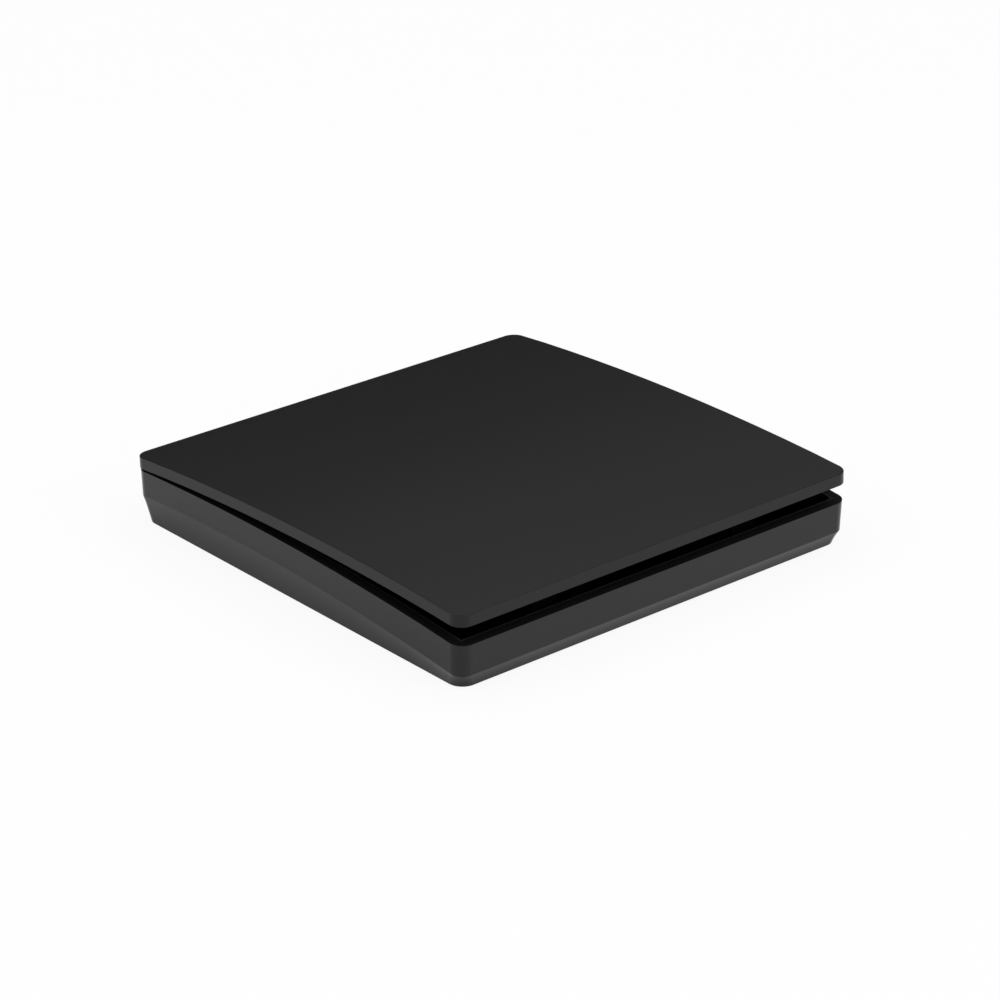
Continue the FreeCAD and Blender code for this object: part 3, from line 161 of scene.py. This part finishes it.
world = bpy.data.worlds.new("softSky")
scene.world = world
tree = startTree(world)
rays = addNode(tree, "ShaderNodeLightPath")
sees = addNode(tree, "ShaderNodeMath", {"operation": "MAXIMUM"},
               {0: rays.outputs["Is Camera Ray"], 1: rays.outputs["Is Glossy Ray"]})
seesAll = addNode(tree, "ShaderNodeMath", {"operation": "MAXIMUM"},
                  {0: sees.outputs[0], 1: rays.outputs["Is Transmission Ray"]})
level = addNode(tree, "ShaderNodeMapRange", {"To Min": stageLook["skyLight"], "To Max": stageLook["skySeen"]},
                {"Value": seesAll.outputs[0]})
sky = addNode(tree, "ShaderNodeBackground", {"Color": toLinear(stageLook["skyColour"])},
              {"Strength": level.outputs[0]})
addNode(tree, "ShaderNodeOutputWorld", links={"Surface": sky.outputs[0]})

lampSettings = [
    {"name": "leftSoftbox", "place": (-0.35, -0.95, 0.45), "size": 0.7, "power": 2.0},
    {"name": "rightSoftbox", "place": (0.95, 0.35, 0.45), "size": 0.7, "power": 3.0},
]
for lamp in lampSettings:
    lampData = bpy.data.lights.new(lamp["name"], "AREA")
    lampData.shape = "DISK"
    lampData.size = lamp["size"]
    lampData.energy = lamp["power"]
    light = bpy.data.objects.new(lamp["name"], lampData)
    scene.collection.objects.link(light)
    light.location = lamp["place"]
    light.rotation_euler = (-Vector(lamp["place"])).to_track_quat("-Z", "Y").to_euler()
print("stage and lamps ready")

# Camera: long lens, from above the corner nearest to it
cameraLook = {"azimuth": 49.387, "elevation": 24.515, "distance": 604.3, "aimHeight": 5.0,
              "lens": 127.77, "sensor": 36.0, "shiftX": 0.01038, "shiftY": 0.00306,
              "clipNear": 0.01, "clipFar": 50}
turn, lift = math.radians(cameraLook["azimuth"]), math.radians(cameraLook["elevation"])
towards = Vector((math.sin(turn) * math.cos(lift), -math.cos(turn) * math.cos(lift), math.sin(lift)))
cameraData = bpy.data.cameras.new("photoCamera")
cameraData.lens = cameraLook["lens"]
cameraData.sensor_width = cameraLook["sensor"]
cameraData.shift_x = cameraLook["shiftX"]
cameraData.shift_y = cameraLook["shiftY"]
cameraData.clip_start = cameraLook["clipNear"]
cameraData.clip_end = cameraLook["clipFar"]
camera = bpy.data.objects.new("photoCamera", cameraData)
scene.collection.objects.link(camera)
camera.location = Vector((0, 0, mm(cameraLook["aimHeight"]))) + towards * mm(cameraLook["distance"])
camera.rotation_euler = (-towards).to_track_quat("-Z", "Y").to_euler()
scene.camera = camera
print("camera ready")

noiseLow, noiseHigh = 0.3, 0.7  # nearly all values of a noise texture lie between these
plainShine = 0.5  # the shader's own level, for an unchanged IOR


# Moulded plastics: cloudy base colour, fine spark-eroded grain in roughness and relief, and optional zones of
# painted shade and painted highlight
def mouldedPlastic(look):
    material, tree, shader, place = startMaterial(look["name"])
    cloud = addNode(tree, "ShaderNodeTexNoise", {"Scale": perMm(look["cloudMm"]), "Detail": 3.0},
                    {"Vector": place})
    tint = addNode(tree, "ShaderNodeMix", {
        "data_type": "RGBA", 6: toLinear(look["dark"]), 7: toLinear(look["light"])},
        {"Factor": cloud.outputs["Fac"]})
    grain = addNode(tree, "ShaderNodeTexNoise", {"Scale": perMm(look["grainMm"]), "Detail": 2.0},
                    {"Vector": place})
    gloss = addNode(tree, "ShaderNodeMapRange", {
        "From Min": noiseLow, "From Max": noiseHigh, "To Min": look["roughLow"], "To Max": look["roughHigh"]},
        {"Value": grain.outputs["Fac"]})
    colour, rough, paintedSheen = tint.outputs[2], gloss.outputs[0], None
    spot = addNode(tree, "ShaderNodeVectorMath", {"operation": "ABSOLUTE"}, {0: place})
    sides = addNode(tree, "ShaderNodeSeparateXYZ", links={0: spot.outputs[0]})
    out = addNode(tree, "ShaderNodeMath", {"operation": "MAXIMUM"},
                  {0: sides.outputs["X"], 1: sides.outputs["Y"]})
    normal = addNode(tree, "ShaderNodeNewGeometry").outputs["Normal"]
    facing = addNode(tree, "ShaderNodeSeparateXYZ", links={0: normal})
    for paintedZone in look.get("paintedShadeAndHighlightZones", []):  # a zone lies between two distances from the middle and two slopes; its colour and specular level are painted shade, or a painted highlight on the housing rim's inner edge
        (near, far), (low, high) = paintedZone["out"], paintedZone["slope"]
        inOut = addNode(tree, "ShaderNodeMath", {
            "operation": "COMPARE", 1: mm(near + far) / 2, 2: mm(far - near) / 2}, {0: out.outputs[0]})
        inSlope = addNode(tree, "ShaderNodeMath", {
            "operation": "COMPARE", 1: (low + high) / 2, 2: (high - low) / 2}, {0: facing.outputs["Z"]})
        inside = addNode(tree, "ShaderNodeMath", {"operation": "MULTIPLY"},
                         {0: inOut.outputs[0], 1: inSlope.outputs[0]})
        paintedZoneTint = addNode(tree, "ShaderNodeMix", {"data_type": "RGBA", 7: toLinear(paintedZone["colour"])},
                           {"Factor": inside.outputs[0], 6: colour})
        zoneRough = addNode(tree, "ShaderNodeMix", {"data_type": "FLOAT", 3: paintedZone["rough"]},
                            {"Factor": inside.outputs[0], 2: rough})
        paintedZoneSheen = addNode(tree, "ShaderNodeMix", {"data_type": "FLOAT", 2: plainShine, 3: paintedZone["paintedSheen"]},
                            {"Factor": inside.outputs[0]})
        if paintedSheen:
            tree.links.new(paintedSheen, paintedZoneSheen.inputs[2])
        colour, rough, paintedSheen = paintedZoneTint.outputs[2], zoneRough.outputs[0], paintedZoneSheen.outputs[0]
    tree.links.new(colour, shader.inputs["Base Color"])
    tree.links.new(rough, shader.inputs["Roughness"])
    if paintedSheen:
        tree.links.new(paintedSheen, shader.inputs["Specular IOR Level"])
    relief = addNode(tree, "ShaderNodeBump", {"Strength": 1.0, "Distance": mm(look["grainDepthMm"])},
                     {"Height": grain.outputs["Fac"]})
    tree.links.new(relief.outputs[0], shader.inputs["Normal"])
    shader.inputs["IOR"].default_value = look["ior"]
    return material


# Stamped, rolled or drawn metals: fine lines along one axis
def drawnMetal(look):
    material, tree, shader, place = startMaterial(look["name"])
    stretched = addNode(tree, "ShaderNodeMapping", {"Scale": look["stretch"]}, {"Vector": place})
    lines = addNode(tree, "ShaderNodeTexNoise", {"Scale": perMm(look["lineMm"]), "Detail": 3.0},
                    {"Vector": stretched.outputs[0]})
    tint = addNode(tree, "ShaderNodeMix", {
        "data_type": "RGBA", 6: toLinear(look["dark"]), 7: toLinear(look["light"])},
        {"Factor": lines.outputs["Fac"]})
    tree.links.new(tint.outputs[2], shader.inputs["Base Color"])
    gloss = addNode(tree, "ShaderNodeMapRange", {
        "From Min": noiseLow, "From Max": noiseHigh, "To Min": look["roughLow"], "To Max": look["roughHigh"]},
        {"Value": lines.outputs["Fac"]})
    tree.links.new(gloss.outputs[0], shader.inputs["Roughness"])
    relief = addNode(tree, "ShaderNodeBump", {"Strength": 1.0, "Distance": mm(look["lineDepthMm"])},
                     {"Height": lines.outputs["Fac"]})
    tree.links.new(relief.outputs[0], shader.inputs["Normal"])
    shader.inputs["Metallic"].default_value = 1.0
    return material


# ABS, moulded against a fine spark-eroded tool: deep black with a soft sheen and grain barely seen.
# Painted shade: the inside of the plate, then the inside and the rim of the housing are painted darker and with
# little sheen, as if shaded by the plate; painted highlight: a lighter line on the rim's inner edge
plateAbs = mouldedPlastic({
    "name": "blackAbsPlate", "dark": "#0f0f10", "light": "#131314", "cloudMm": 22, "grainMm": 0.4,
    "grainDepthMm": 0.0005, "roughLow": 0.28, "roughHigh": 0.31, "ior": 1.36,
    "paintedShadeAndHighlightZones": [
        # painted shade: the plate's inside and underside darker and with little sheen
        {"out": (0, 41.5), "slope": (-1.1, 0.5), "colour": "#080808", "rough": 0.5, "paintedSheen": 0.06}]})
housingAbs = mouldedPlastic({
    "name": "blackAbsHousing", "dark": "#0f0f10", "light": "#131314", "cloudMm": 18, "grainMm": 0.4,
    "grainDepthMm": 0.0005, "roughLow": 0.13, "roughHigh": 0.15, "ior": 1.395,
    "paintedShadeAndHighlightZones": [
        # painted shade on the housing's inside and rim, then a painted highlight line on the rim's inner edge
        {"out": (0, 40.85), "slope": (-0.5, 1.1), "colour": "#080808", "rough": 0.5, "paintedSheen": 0.06},
        {"out": (40.85, 43.1), "slope": (0.6, 1.1), "colour": "#151516", "rough": 0.5, "paintedSheen": 0.06},
        {"out": (40.85, 41.2), "slope": (0.6, 1.1), "colour": "#2a2a2b", "rough": 0.5, "paintedSheen": 0.1}]})
coverAbs = mouldedPlastic({
    "name": "blackAbsCover", "dark": "#121213", "light": "#171718", "cloudMm": 12, "grainMm": 0.5,
    "grainDepthMm": 0.006, "roughLow": 0.5, "roughHigh": 0.62, "ior": 1.5})
wear(plateAbs, "rocker_plate")
wear(housingAbs, "rear_housing")
wear(coverAbs, "inner_cover")

# Silicone rubber: soft, dark and dull
bumperSilicone = mouldedPlastic({
    "name": "greySilicone", "dark": "#161616", "light": "#1c1c1c", "cloudMm": 3, "grainMm": 0.2,
    "grainDepthMm": 0.004, "roughLow": 0.6, "roughHigh": 0.75, "ior": 1.41})
wear(bumperSilicone, "press_bumpers")

# Glass-filled nylon, PBT and acetal of the works: dull grey, ivory with a faint fleck, waxy white
frameNylon = mouldedPlastic({
    "name": "greyNylon", "dark": "#565759", "light": "#626366", "cloudMm": 4, "grainMm": 0.25,
    "grainDepthMm": 0.006, "roughLow": 0.5, "roughHigh": 0.65, "ior": 1.53})
bobbinPbt = mouldedPlastic({
    "name": "ivoryPbt", "dark": "#d8d4c8", "light": "#e3dfd4", "cloudMm": 3, "grainMm": 0.2,
    "grainDepthMm": 0.003, "roughLow": 0.4, "roughHigh": 0.5, "ior": 1.55})
carrierAcetal = mouldedPlastic({
    "name": "whiteAcetal", "dark": "#dcdcd8", "light": "#e6e6e2", "cloudMm": 3, "grainMm": 0.3,
    "grainDepthMm": 0.002, "roughLow": 0.3, "roughHigh": 0.4, "ior": 1.48})
wear(frameNylon, "generator_frame")
wear(bobbinPbt, "coil_bobbin")
wear(carrierAcetal, "magnet_carrier")

# Epoxy and ferrite of the board parts: dull black, speckled dark grey, satin ochre
chipEpoxy = mouldedPlastic({
    "name": "blackEpoxy", "dark": "#18181a", "light": "#212123", "cloudMm": 0.8, "grainMm": 0.12,
    "grainDepthMm": 0.004, "roughLow": 0.5, "roughHigh": 0.62, "ior": 1.55})
ferriteGrey = mouldedPlastic({
    "name": "greyFerrite", "dark": "#3a3a3b", "light": "#4a4a4b", "cloudMm": 0.6, "grainMm": 0.15,
    "grainDepthMm": 0.006, "roughLow": 0.45, "roughHigh": 0.6, "ior": 1.6})
tantalumCase = mouldedPlastic({
    "name": "ochreEpoxy", "dark": "#b98416", "light": "#cb9524", "cloudMm": 1.5, "grainMm": 0.12,
    "grainDepthMm": 0.003, "roughLow": 0.4, "roughHigh": 0.52, "ior": 1.55})
wear(chipEpoxy, "radio_chip", "rectifier")
wear(ferriteGrey, "inductor")
wear(tantalumCase, "storage_capacitors")

# Zinc plate, silicon steel, bright and blued spring strip, pole steel, nickel plate and tinned wire:
# frosty grey, grey with the edges of its sheets, grey and blue-black with rolling lines, warm bright metals
zincPlate = drawnMetal({
    "name": "zincPlate", "dark": "#a9abad", "light": "#c3c5c7", "stretch": (1, 1, 1),
    "lineMm": 0.3, "lineDepthMm": 0.002, "roughLow": 0.26, "roughHigh": 0.38})
siliconSteel = drawnMetal({
    "name": "siliconSteel", "dark": "#77797c", "light": "#96989b", "stretch": (0.05, 0.05, 6),
    "lineMm": 0.6, "lineDepthMm": 0.006, "roughLow": 0.3, "roughHigh": 0.45})
springStrip = drawnMetal({
    "name": "springStrip", "dark": "#8b8c8e", "light": "#a5a6a8", "stretch": (0.06, 1, 1),
    "lineMm": 0.25, "lineDepthMm": 0.002, "roughLow": 0.24, "roughHigh": 0.36})
bluedStrip = drawnMetal({
    "name": "bluedStrip", "dark": "#1d1f24", "light": "#2b2d33", "stretch": (0.06, 1, 1),
    "lineMm": 0.25, "lineDepthMm": 0.001, "roughLow": 0.38, "roughHigh": 0.48})
poleSteel = drawnMetal({
    "name": "poleSteel", "dark": "#85878a", "light": "#9fa1a4", "stretch": (0.05, 1, 1),
    "lineMm": 0.3, "lineDepthMm": 0.003, "roughLow": 0.3, "roughHigh": 0.42})
nickelPlate = drawnMetal({
    "name": "nickelPlate", "dark": "#b5b0a6", "light": "#c8c3b9", "stretch": (1, 1, 1),
    "lineMm": 0.8, "lineDepthMm": 0.001, "roughLow": 0.16, "roughHigh": 0.24})
tinnedWire = drawnMetal({
    "name": "tinnedWire", "dark": "#b4b1aa", "light": "#cac7c0", "stretch": (0.08, 1, 1),
    "lineMm": 0.2, "lineDepthMm": 0.002, "roughLow": 0.28, "roughHigh": 0.4})
wear(zincPlate, "cover_screws", "generator_screws")
wear(siliconSteel, "laminated_core")
wear(springStrip, "leaf_spring")
wear(poleSteel, "upper_pole_plate", "lower_pole_plate")
wear(nickelPlate, "magnet", "crystal")
wear(tinnedWire, "loop_antenna")

# Enamelled copper, wound in rows: turns drawn 0.5 mm apart, coarser than the real wire so that they show; the
# colour is painted shade between the turns and painted highlight along them
copperLook = {"turnMm": 0.5, "dark": "#7c3a1c", "light": "#c0693a", "waver": 0.4, "waverScale": 0.5,
              "depthMm": 0.05, "relief": 0.8, "rough": 0.32}
copperWire, tree, shader, place = startMaterial("enamelledCopper")
turns = addNode(tree, "ShaderNodeTexWave", {  # one band of this texture is pi / 10 wide
    "wave_type": "BANDS", "bands_direction": "X", "Scale": perMm(copperLook["turnMm"]) * math.pi / 10,
    "Distortion": copperLook["waver"], "Detail": 1.0, "Detail Scale": copperLook["waverScale"]},
    {"Vector": place})
# painted shade in the grooves between turns, painted highlight along each turn
tint = addNode(tree, "ShaderNodeMix", {
    "data_type": "RGBA", 6: toLinear(copperLook["dark"]), 7: toLinear(copperLook["light"])},
    {"Factor": turns.outputs["Fac"]})
tree.links.new(tint.outputs[2], shader.inputs["Base Color"])
relief = addNode(tree, "ShaderNodeBump", {
    "Strength": copperLook["relief"], "Distance": mm(copperLook["depthMm"])}, {"Height": turns.outputs["Fac"]})
tree.links.new(relief.outputs[0], shader.inputs["Normal"])
shader.inputs["Metallic"].default_value = 1.0
shader.inputs["Roughness"].default_value = copperLook["rough"]
wear(copperWire, "coil_winding", "coil_leads")

# Green solder mask over copper: lighter runs where the copper lies under it
boardLook = {"trackMm": 2.4, "gap": 0.11, "gapEdge": 0.05, "fieldLength": 2.3, "fieldWidth": 0.5,
             "mask": "#0d3d22", "overCopper": "#1c5a34", "weaveMm": 0.4,
             "roughLow": 0.24, "roughHigh": 0.36, "reliefMm": 0.03, "ior": 1.5}
solderMask, tree, shader, place = startMaterial("greenSolderMask")
tracks = addNode(tree, "ShaderNodeTexBrick", {
    "Scale": perMm(boardLook["trackMm"]), "Mortar Size": boardLook["gap"], "Mortar Smooth": boardLook["gapEdge"],
    "Brick Width": boardLook["fieldLength"], "Row Height": boardLook["fieldWidth"]}, {"Vector": place})
tint = addNode(tree, "ShaderNodeMix", {
    "data_type": "RGBA", 6: toLinear(boardLook["mask"]), 7: toLinear(boardLook["overCopper"])},
    {"Factor": tracks.outputs["Fac"]})
tree.links.new(tint.outputs[2], shader.inputs["Base Color"])
weave = addNode(tree, "ShaderNodeTexNoise", {"Scale": perMm(boardLook["weaveMm"])}, {"Vector": place})
gloss = addNode(tree, "ShaderNodeMapRange", {
    "To Min": boardLook["roughLow"], "To Max": boardLook["roughHigh"]}, {"Value": weave.outputs["Fac"]})
tree.links.new(gloss.outputs[0], shader.inputs["Roughness"])
relief = addNode(tree, "ShaderNodeBump", {"Strength": 1.0, "Distance": mm(boardLook["reliefMm"])},
                 {"Height": tracks.outputs["Fac"]})
tree.links.new(relief.outputs[0], shader.inputs["Normal"])
shader.inputs["IOR"].default_value = boardLook["ior"]
wear(solderMask, "circuit_board")
print("materials on", len(cadNodes), "nodes")

squareOn = 0.9  # least part of a face's normal along an axis that it looks along
mergeGap = 1e-6
edgeLook = {"segments": 2, "sharpest": 50, "smoothUpTo": 35}


def startBlock(low, high):
    bpy.ops.object.select_all(action="DESELECT")
    bpy.ops.mesh.primitive_cube_add(size=1, location=[mm(a + b) / 2 for a, b in zip(low, high)],
                                    scale=[mm(b - a) for a, b in zip(low, high)])
    bpy.ops.object.transform_apply(location=True, rotation=True, scale=True)
    bpy.ops.object.mode_set(mode="EDIT")
    bpy.ops.mesh.select_mode(type="FACE")
    return bpy.context.object


def pickFaces(piece, wanted):
    mesh = bmesh.from_edit_mesh(piece.data)
    for face in mesh.faces:
        face.select_set(bool(wanted(face)))
    mesh.select_flush_mode()
    bmesh.update_edit_mesh(piece.data)


def extrudeBy(x, y, z):
    bpy.ops.mesh.extrude_region_move(TRANSFORM_OT_translate={"value": (mm(x), mm(y), mm(z))})


def joinPieces(pieces, name):
    bpy.ops.object.select_all(action="DESELECT")
    for piece in pieces:
        piece.select_set(True)
    bpy.context.view_layer.objects.active = pieces[0]
    if len(pieces) > 1:
        bpy.ops.object.join()
    pieces[0].name = name
    return pieces[0]


def softenEdges(piece, width):
    rounding = piece.modifiers.new("edgeRound", "BEVEL")
    rounding.width = mm(width)
    rounding.segments = edgeLook["segments"]
    rounding.limit_method = "ANGLE"
    rounding.angle_limit = math.radians(edgeLook["sharpest"])
    bpy.ops.object.modifier_apply(modifier=rounding.name)
    bpy.ops.object.shade_smooth_by_angle(angle=math.radians(edgeLook["smoothUpTo"]))


# Return springs: one strip each, folded over at the rear, its free leaf under the plate
springLook = {"width": 4.0, "thick": 0.3, "bendX": 9.0, "bendZ": 2.8, "bendRadius": 1.2, "bendSteps": 14,
              "footEnd": 19.0, "leafTurn": 151.5, "leafLength": 17.78, "tipShare": 0.75, "edgeRound": 0.06,
              "spread": 31.25, "anchorX": 17.5, "keep": 0.8}


def foldedSpring(name, side, node):
    look = springLook
    across = look["spread"] * side
    footLow = look["bendZ"] - look["bendRadius"]
    spring = startBlock((look["bendX"], across - look["width"] / 2, footLow),
                        (look["footEnd"], across + look["width"] / 2, footLow + look["thick"]))
    spring.name = name
    pickFaces(spring, lambda face: face.normal.x < -squareOn)
    bpy.ops.mesh.spin(steps=look["bendSteps"], angle=-math.radians(look["leafTurn"]), axis=(0, 1, 0),
                      center=(mm(look["bendX"]), mm(across), mm(look["bendZ"])))
    climb = math.radians(180 - look["leafTurn"])
    extrudeBy(math.cos(climb) * look["leafLength"], 0, math.sin(climb) * look["leafLength"])
    bpy.ops.transform.resize(value=(1, look["tipShare"], 1))
    bpy.ops.mesh.select_all(action="SELECT")
    bpy.ops.mesh.remove_doubles(threshold=mergeGap)
    bpy.ops.mesh.normals_make_consistent(inside=False)
    bpy.ops.object.mode_set(mode="OBJECT")
    softenEdges(spring, look["edgeRound"])
    spring.data.materials.append(bluedStrip)
    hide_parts(node)
    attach(spring, "housing")
    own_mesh(spring)
    print(name, "has", len(spring.data.polygons), "faces")


foldedSpring("leftReturnSpring", -1, "return_spring_left")
foldedSpring("rightReturnSpring", 1, "return_spring_right")

# Parts on the board: moulded cases with drafted sides, a shielded inductor and a metal can.
# A body has its low and high corner, a step how far in it lies and how far it climbs
caseLooks = [
    {"name": "radioPackage", "node": "radio_chip", "slot": "chip_black", "material": chipEpoxy,
     "bodies": [((1.5, 20.1, 3.8), (5.5, 24.1, 4.7))],
     "draft": 0.985, "round": 0.04, "steps": [(0.3, -0.12)]},
    {"name": "rectifierPackage", "node": "rectifier", "slot": "chip_black", "material": chipEpoxy,
     "bodies": [((-11.85, 13.6, 3.95), (-7.15, 16.5, 6.1))],
     "draft": 0.9, "round": 0.05, "steps": [(0.4, -0.14)]},
    {"name": "tantalumCases", "node": "storage_capacitors", "slot": "capacitor_ochre", "material": tantalumCase,
     "bodies": [((-5.55, 12.9, 3.95), (1.45, 17.2, 6.6)), ((2.95, 12.9, 3.95), (9.95, 17.2, 6.6))],
     "draft": 0.95, "round": 0.14, "steps": []},
    {"name": "shieldedInductor", "node": "inductor", "slot": "inductor_grey", "material": ferriteGrey,
     "bodies": [((-5.5, 20.1, 3.8), (-1.5, 24.1, 6.0))], "corner": 1.1, "cornerSteps": 5,
     "draft": 1.0, "round": 0.06, "steps": [(0.45, -0.35), (0.3, 0.35)]},
    {"name": "crystalCan", "node": "crystal", "slot": "crystal_steel", "material": nickelPlate,
     "bodies": [((-12.6, 20.85, 3.8), (-9.4, 23.35, 4.15))], "corner": 0.3, "cornerSteps": 5,
     "draft": 1.0, "round": 0.05, "steps": [(0.2, 0.45)]},
]


def roundUprights(block, look):
    bpy.ops.mesh.select_mode(type="EDGE")
    mesh = bmesh.from_edit_mesh(block.data)
    for edge in mesh.edges:
        edge.select_set(abs(edge.verts[0].co.z - edge.verts[1].co.z) > mergeGap)
    bmesh.update_edit_mesh(block.data)
    bpy.ops.mesh.bevel(offset=mm(look["corner"]), segments=look["cornerSteps"])
    bpy.ops.mesh.select_mode(type="FACE")


for look in caseLooks:
    blocks = []
    for low, high in look["bodies"]:
        block = startBlock(low, high)
        if "corner" in look:
            roundUprights(block, look)
        pickFaces(block, lambda face: face.normal.z > squareOn)
        bpy.ops.transform.resize(value=(look["draft"], look["draft"], 1))
        for inwards, climb in look["steps"]:
            bpy.ops.mesh.inset(thickness=mm(inwards))
            extrudeBy(0, 0, climb)
        bpy.ops.object.mode_set(mode="OBJECT")
        blocks.append(block)
    case = joinPieces(blocks, look["name"])
    softenEdges(case, look["round"])
    case.data.materials.append(look["material"])
    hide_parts(look["node"])
    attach(case, "housing")
    print(look["name"], "has", len(case.data.polygons), "faces")

# Leads: four bent legs on the rectifier, and strips folded round the ends of the capacitors.
# A side or an end has its place and which way is inwards
leadLook = {"low": 3.8, "high": 3.95, "thick": 0.15, "edgeRound": 0.03,
            "legWidth": 0.7, "legFoot": 0.35, "legs": (-10.75, -8.25), "legSides": ((13.1, 1), (17.0, -1)),
            "legBends": ((0.2, 0.75), (0.2, 0)),
            "stripWidth": 2.4, "stripFoot": 1.2, "stripRise": 1.15, "stripMiddle": 15.05,
            "stripEnds": ((-5.7, 1), (1.6, -1), (2.8, 1), (10.1, -1))}
leads = []
legHalf, stripHalf = leadLook["legWidth"] / 2, leadLook["stripWidth"] / 2
for x in leadLook["legs"]:
    for y, inwards in leadLook["legSides"]:
        near, far = sorted((y, y + inwards * leadLook["legFoot"]))
        leg = startBlock((x - legHalf, near, leadLook["low"]), (x + legHalf, far, leadLook["high"]))
        pickFaces(leg, lambda face: face.normal.y * inwards > squareOn)
        for run, climb in leadLook["legBends"]:
            extrudeBy(0, run * inwards, climb)
        bpy.ops.object.mode_set(mode="OBJECT")
        leads.append(leg)
for x, inwards in leadLook["stripEnds"]:
    near, far = sorted((x, x + inwards * leadLook["stripFoot"]))
    strip = startBlock((near, leadLook["stripMiddle"] - stripHalf, leadLook["low"]),
                       (far, leadLook["stripMiddle"] + stripHalf, leadLook["high"]))
    bpy.ops.mesh.select_all(action="SELECT")
    fold = mm(x + inwards * leadLook["thick"])
    bpy.ops.mesh.bisect(plane_co=(fold, 0, 0), plane_no=(1, 0, 0))
    pickFaces(strip, lambda face: face.normal.z > squareOn
              and (face.calc_center_median().x - fold) * inwards < 0)
    extrudeBy(0, 0, leadLook["stripRise"])
    bpy.ops.object.mode_set(mode="OBJECT")
    leads.append(strip)
tinnedLeads = joinPieces(leads, "tinnedLeads")
softenEdges(tinnedLeads, leadLook["edgeRound"])
tinnedLeads.data.materials.append(tinnedWire)
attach(tinnedLeads, "housing")
print("board parts modelled")

# Plate and housing: the CAD shells with their corners rounded a little more, as the real ones are
shellLooks = [
    {"name": "rockerShell", "node": "rocker_plate", "body": "rocker", "slot": "plate_black", "material": plateAbs,
     "more": 0.7, "footMore": 0.7, "footTop": 2.0, "cornerFrom": 40.2, "steepest": 0.9, "outwards": 0.05},
    {"name": "housingShell", "node": "rear_housing", "body": "housing", "slot": "housing_black",
     "material": housingAbs,
     "more": 0.45, "footMore": 0.95, "footTop": 2.0, "cornerFrom": 40.2, "steepest": 0.9, "outwards": 0.05},
]
samePlaceMm = 0.002


def shadingTable(mesh):
    rows = [(mesh.vertices[mesh.loops[k].vertex_index].co.copy(), face.normal.copy(),
             mesh.corner_normals[k].vector.copy())
            for face in mesh.polygons for k in face.loop_indices]
    tree = KDTree(len(rows))
    for k, row in enumerate(rows):
        tree.insert(row[0], k)
    tree.balance()
    return lambda place: [rows[k] for spot, k, far in tree.find_range(place, mm(samePlaceMm))]


def roundedShell(look):
    cad = cadNodes[look["node"]]
    shadingAt = shadingTable(cad.data)
    bpy.ops.object.select_all(action="DESELECT")
    shell = bpy.data.objects.new(look["name"], cad.data.copy())
    scene.collection.objects.link(shell)
    bpy.context.view_layer.objects.active = shell
    shell.select_set(True)
    bpy.ops.object.mode_set(mode="EDIT")
    bpy.ops.mesh.select_all(action="SELECT")
    bpy.ops.mesh.remove_doubles(threshold=mergeGap)
    bpy.ops.object.mode_set(mode="OBJECT")
    mesh = shell.data
    shading = []  # the CAD surface's own shading, from the face at that point that looks the same way
    for face in mesh.polygons:
        for k in face.loop_indices:
            near = shadingAt(mesh.vertices[mesh.loops[k].vertex_index].co)
            shading.append(max(near, key=lambda row: row[1].dot(face.normal))[2])
    for vert in mesh.vertices:
        if min(abs(vert.co.x), abs(vert.co.y)) < mm(look["cornerFrom"]):
            continue
        sideX, sideY = math.copysign(1, vert.co.x), math.copysign(1, vert.co.y)
        steep = [row[2] for row in shadingAt(vert.co) if abs(row[2].z) < look["steepest"]]
        outX, outY = sideX * sum(n.x for n in steep), sideY * sum(n.y for n in steep)
        if min(outX, outY) < -look["outwards"] or outX + outY < look["outwards"]:
            continue  # inner walls keep their corners
        low = max(0.0, 1 - vert.co.z / mm(look["footTop"]))
        more = mm(look["more"] + (look["footMore"] - look["more"]) * low)
        reach = math.hypot(outX, outY)
        vert.co.x += sideX * more * (outX / reach - 1)  # the same facing on a larger arc keeps the shading
        vert.co.y += sideY * more * (outY / reach - 1)
    mesh.normals_split_custom_set(shading)
    mesh.materials.clear()
    mesh.materials.append(look["material"])
    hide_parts(look["node"])
    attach(shell, look["body"])
    print(look["name"], "has", len(mesh.polygons), "faces")


for look in shellLooks:
    roundedShell(look)
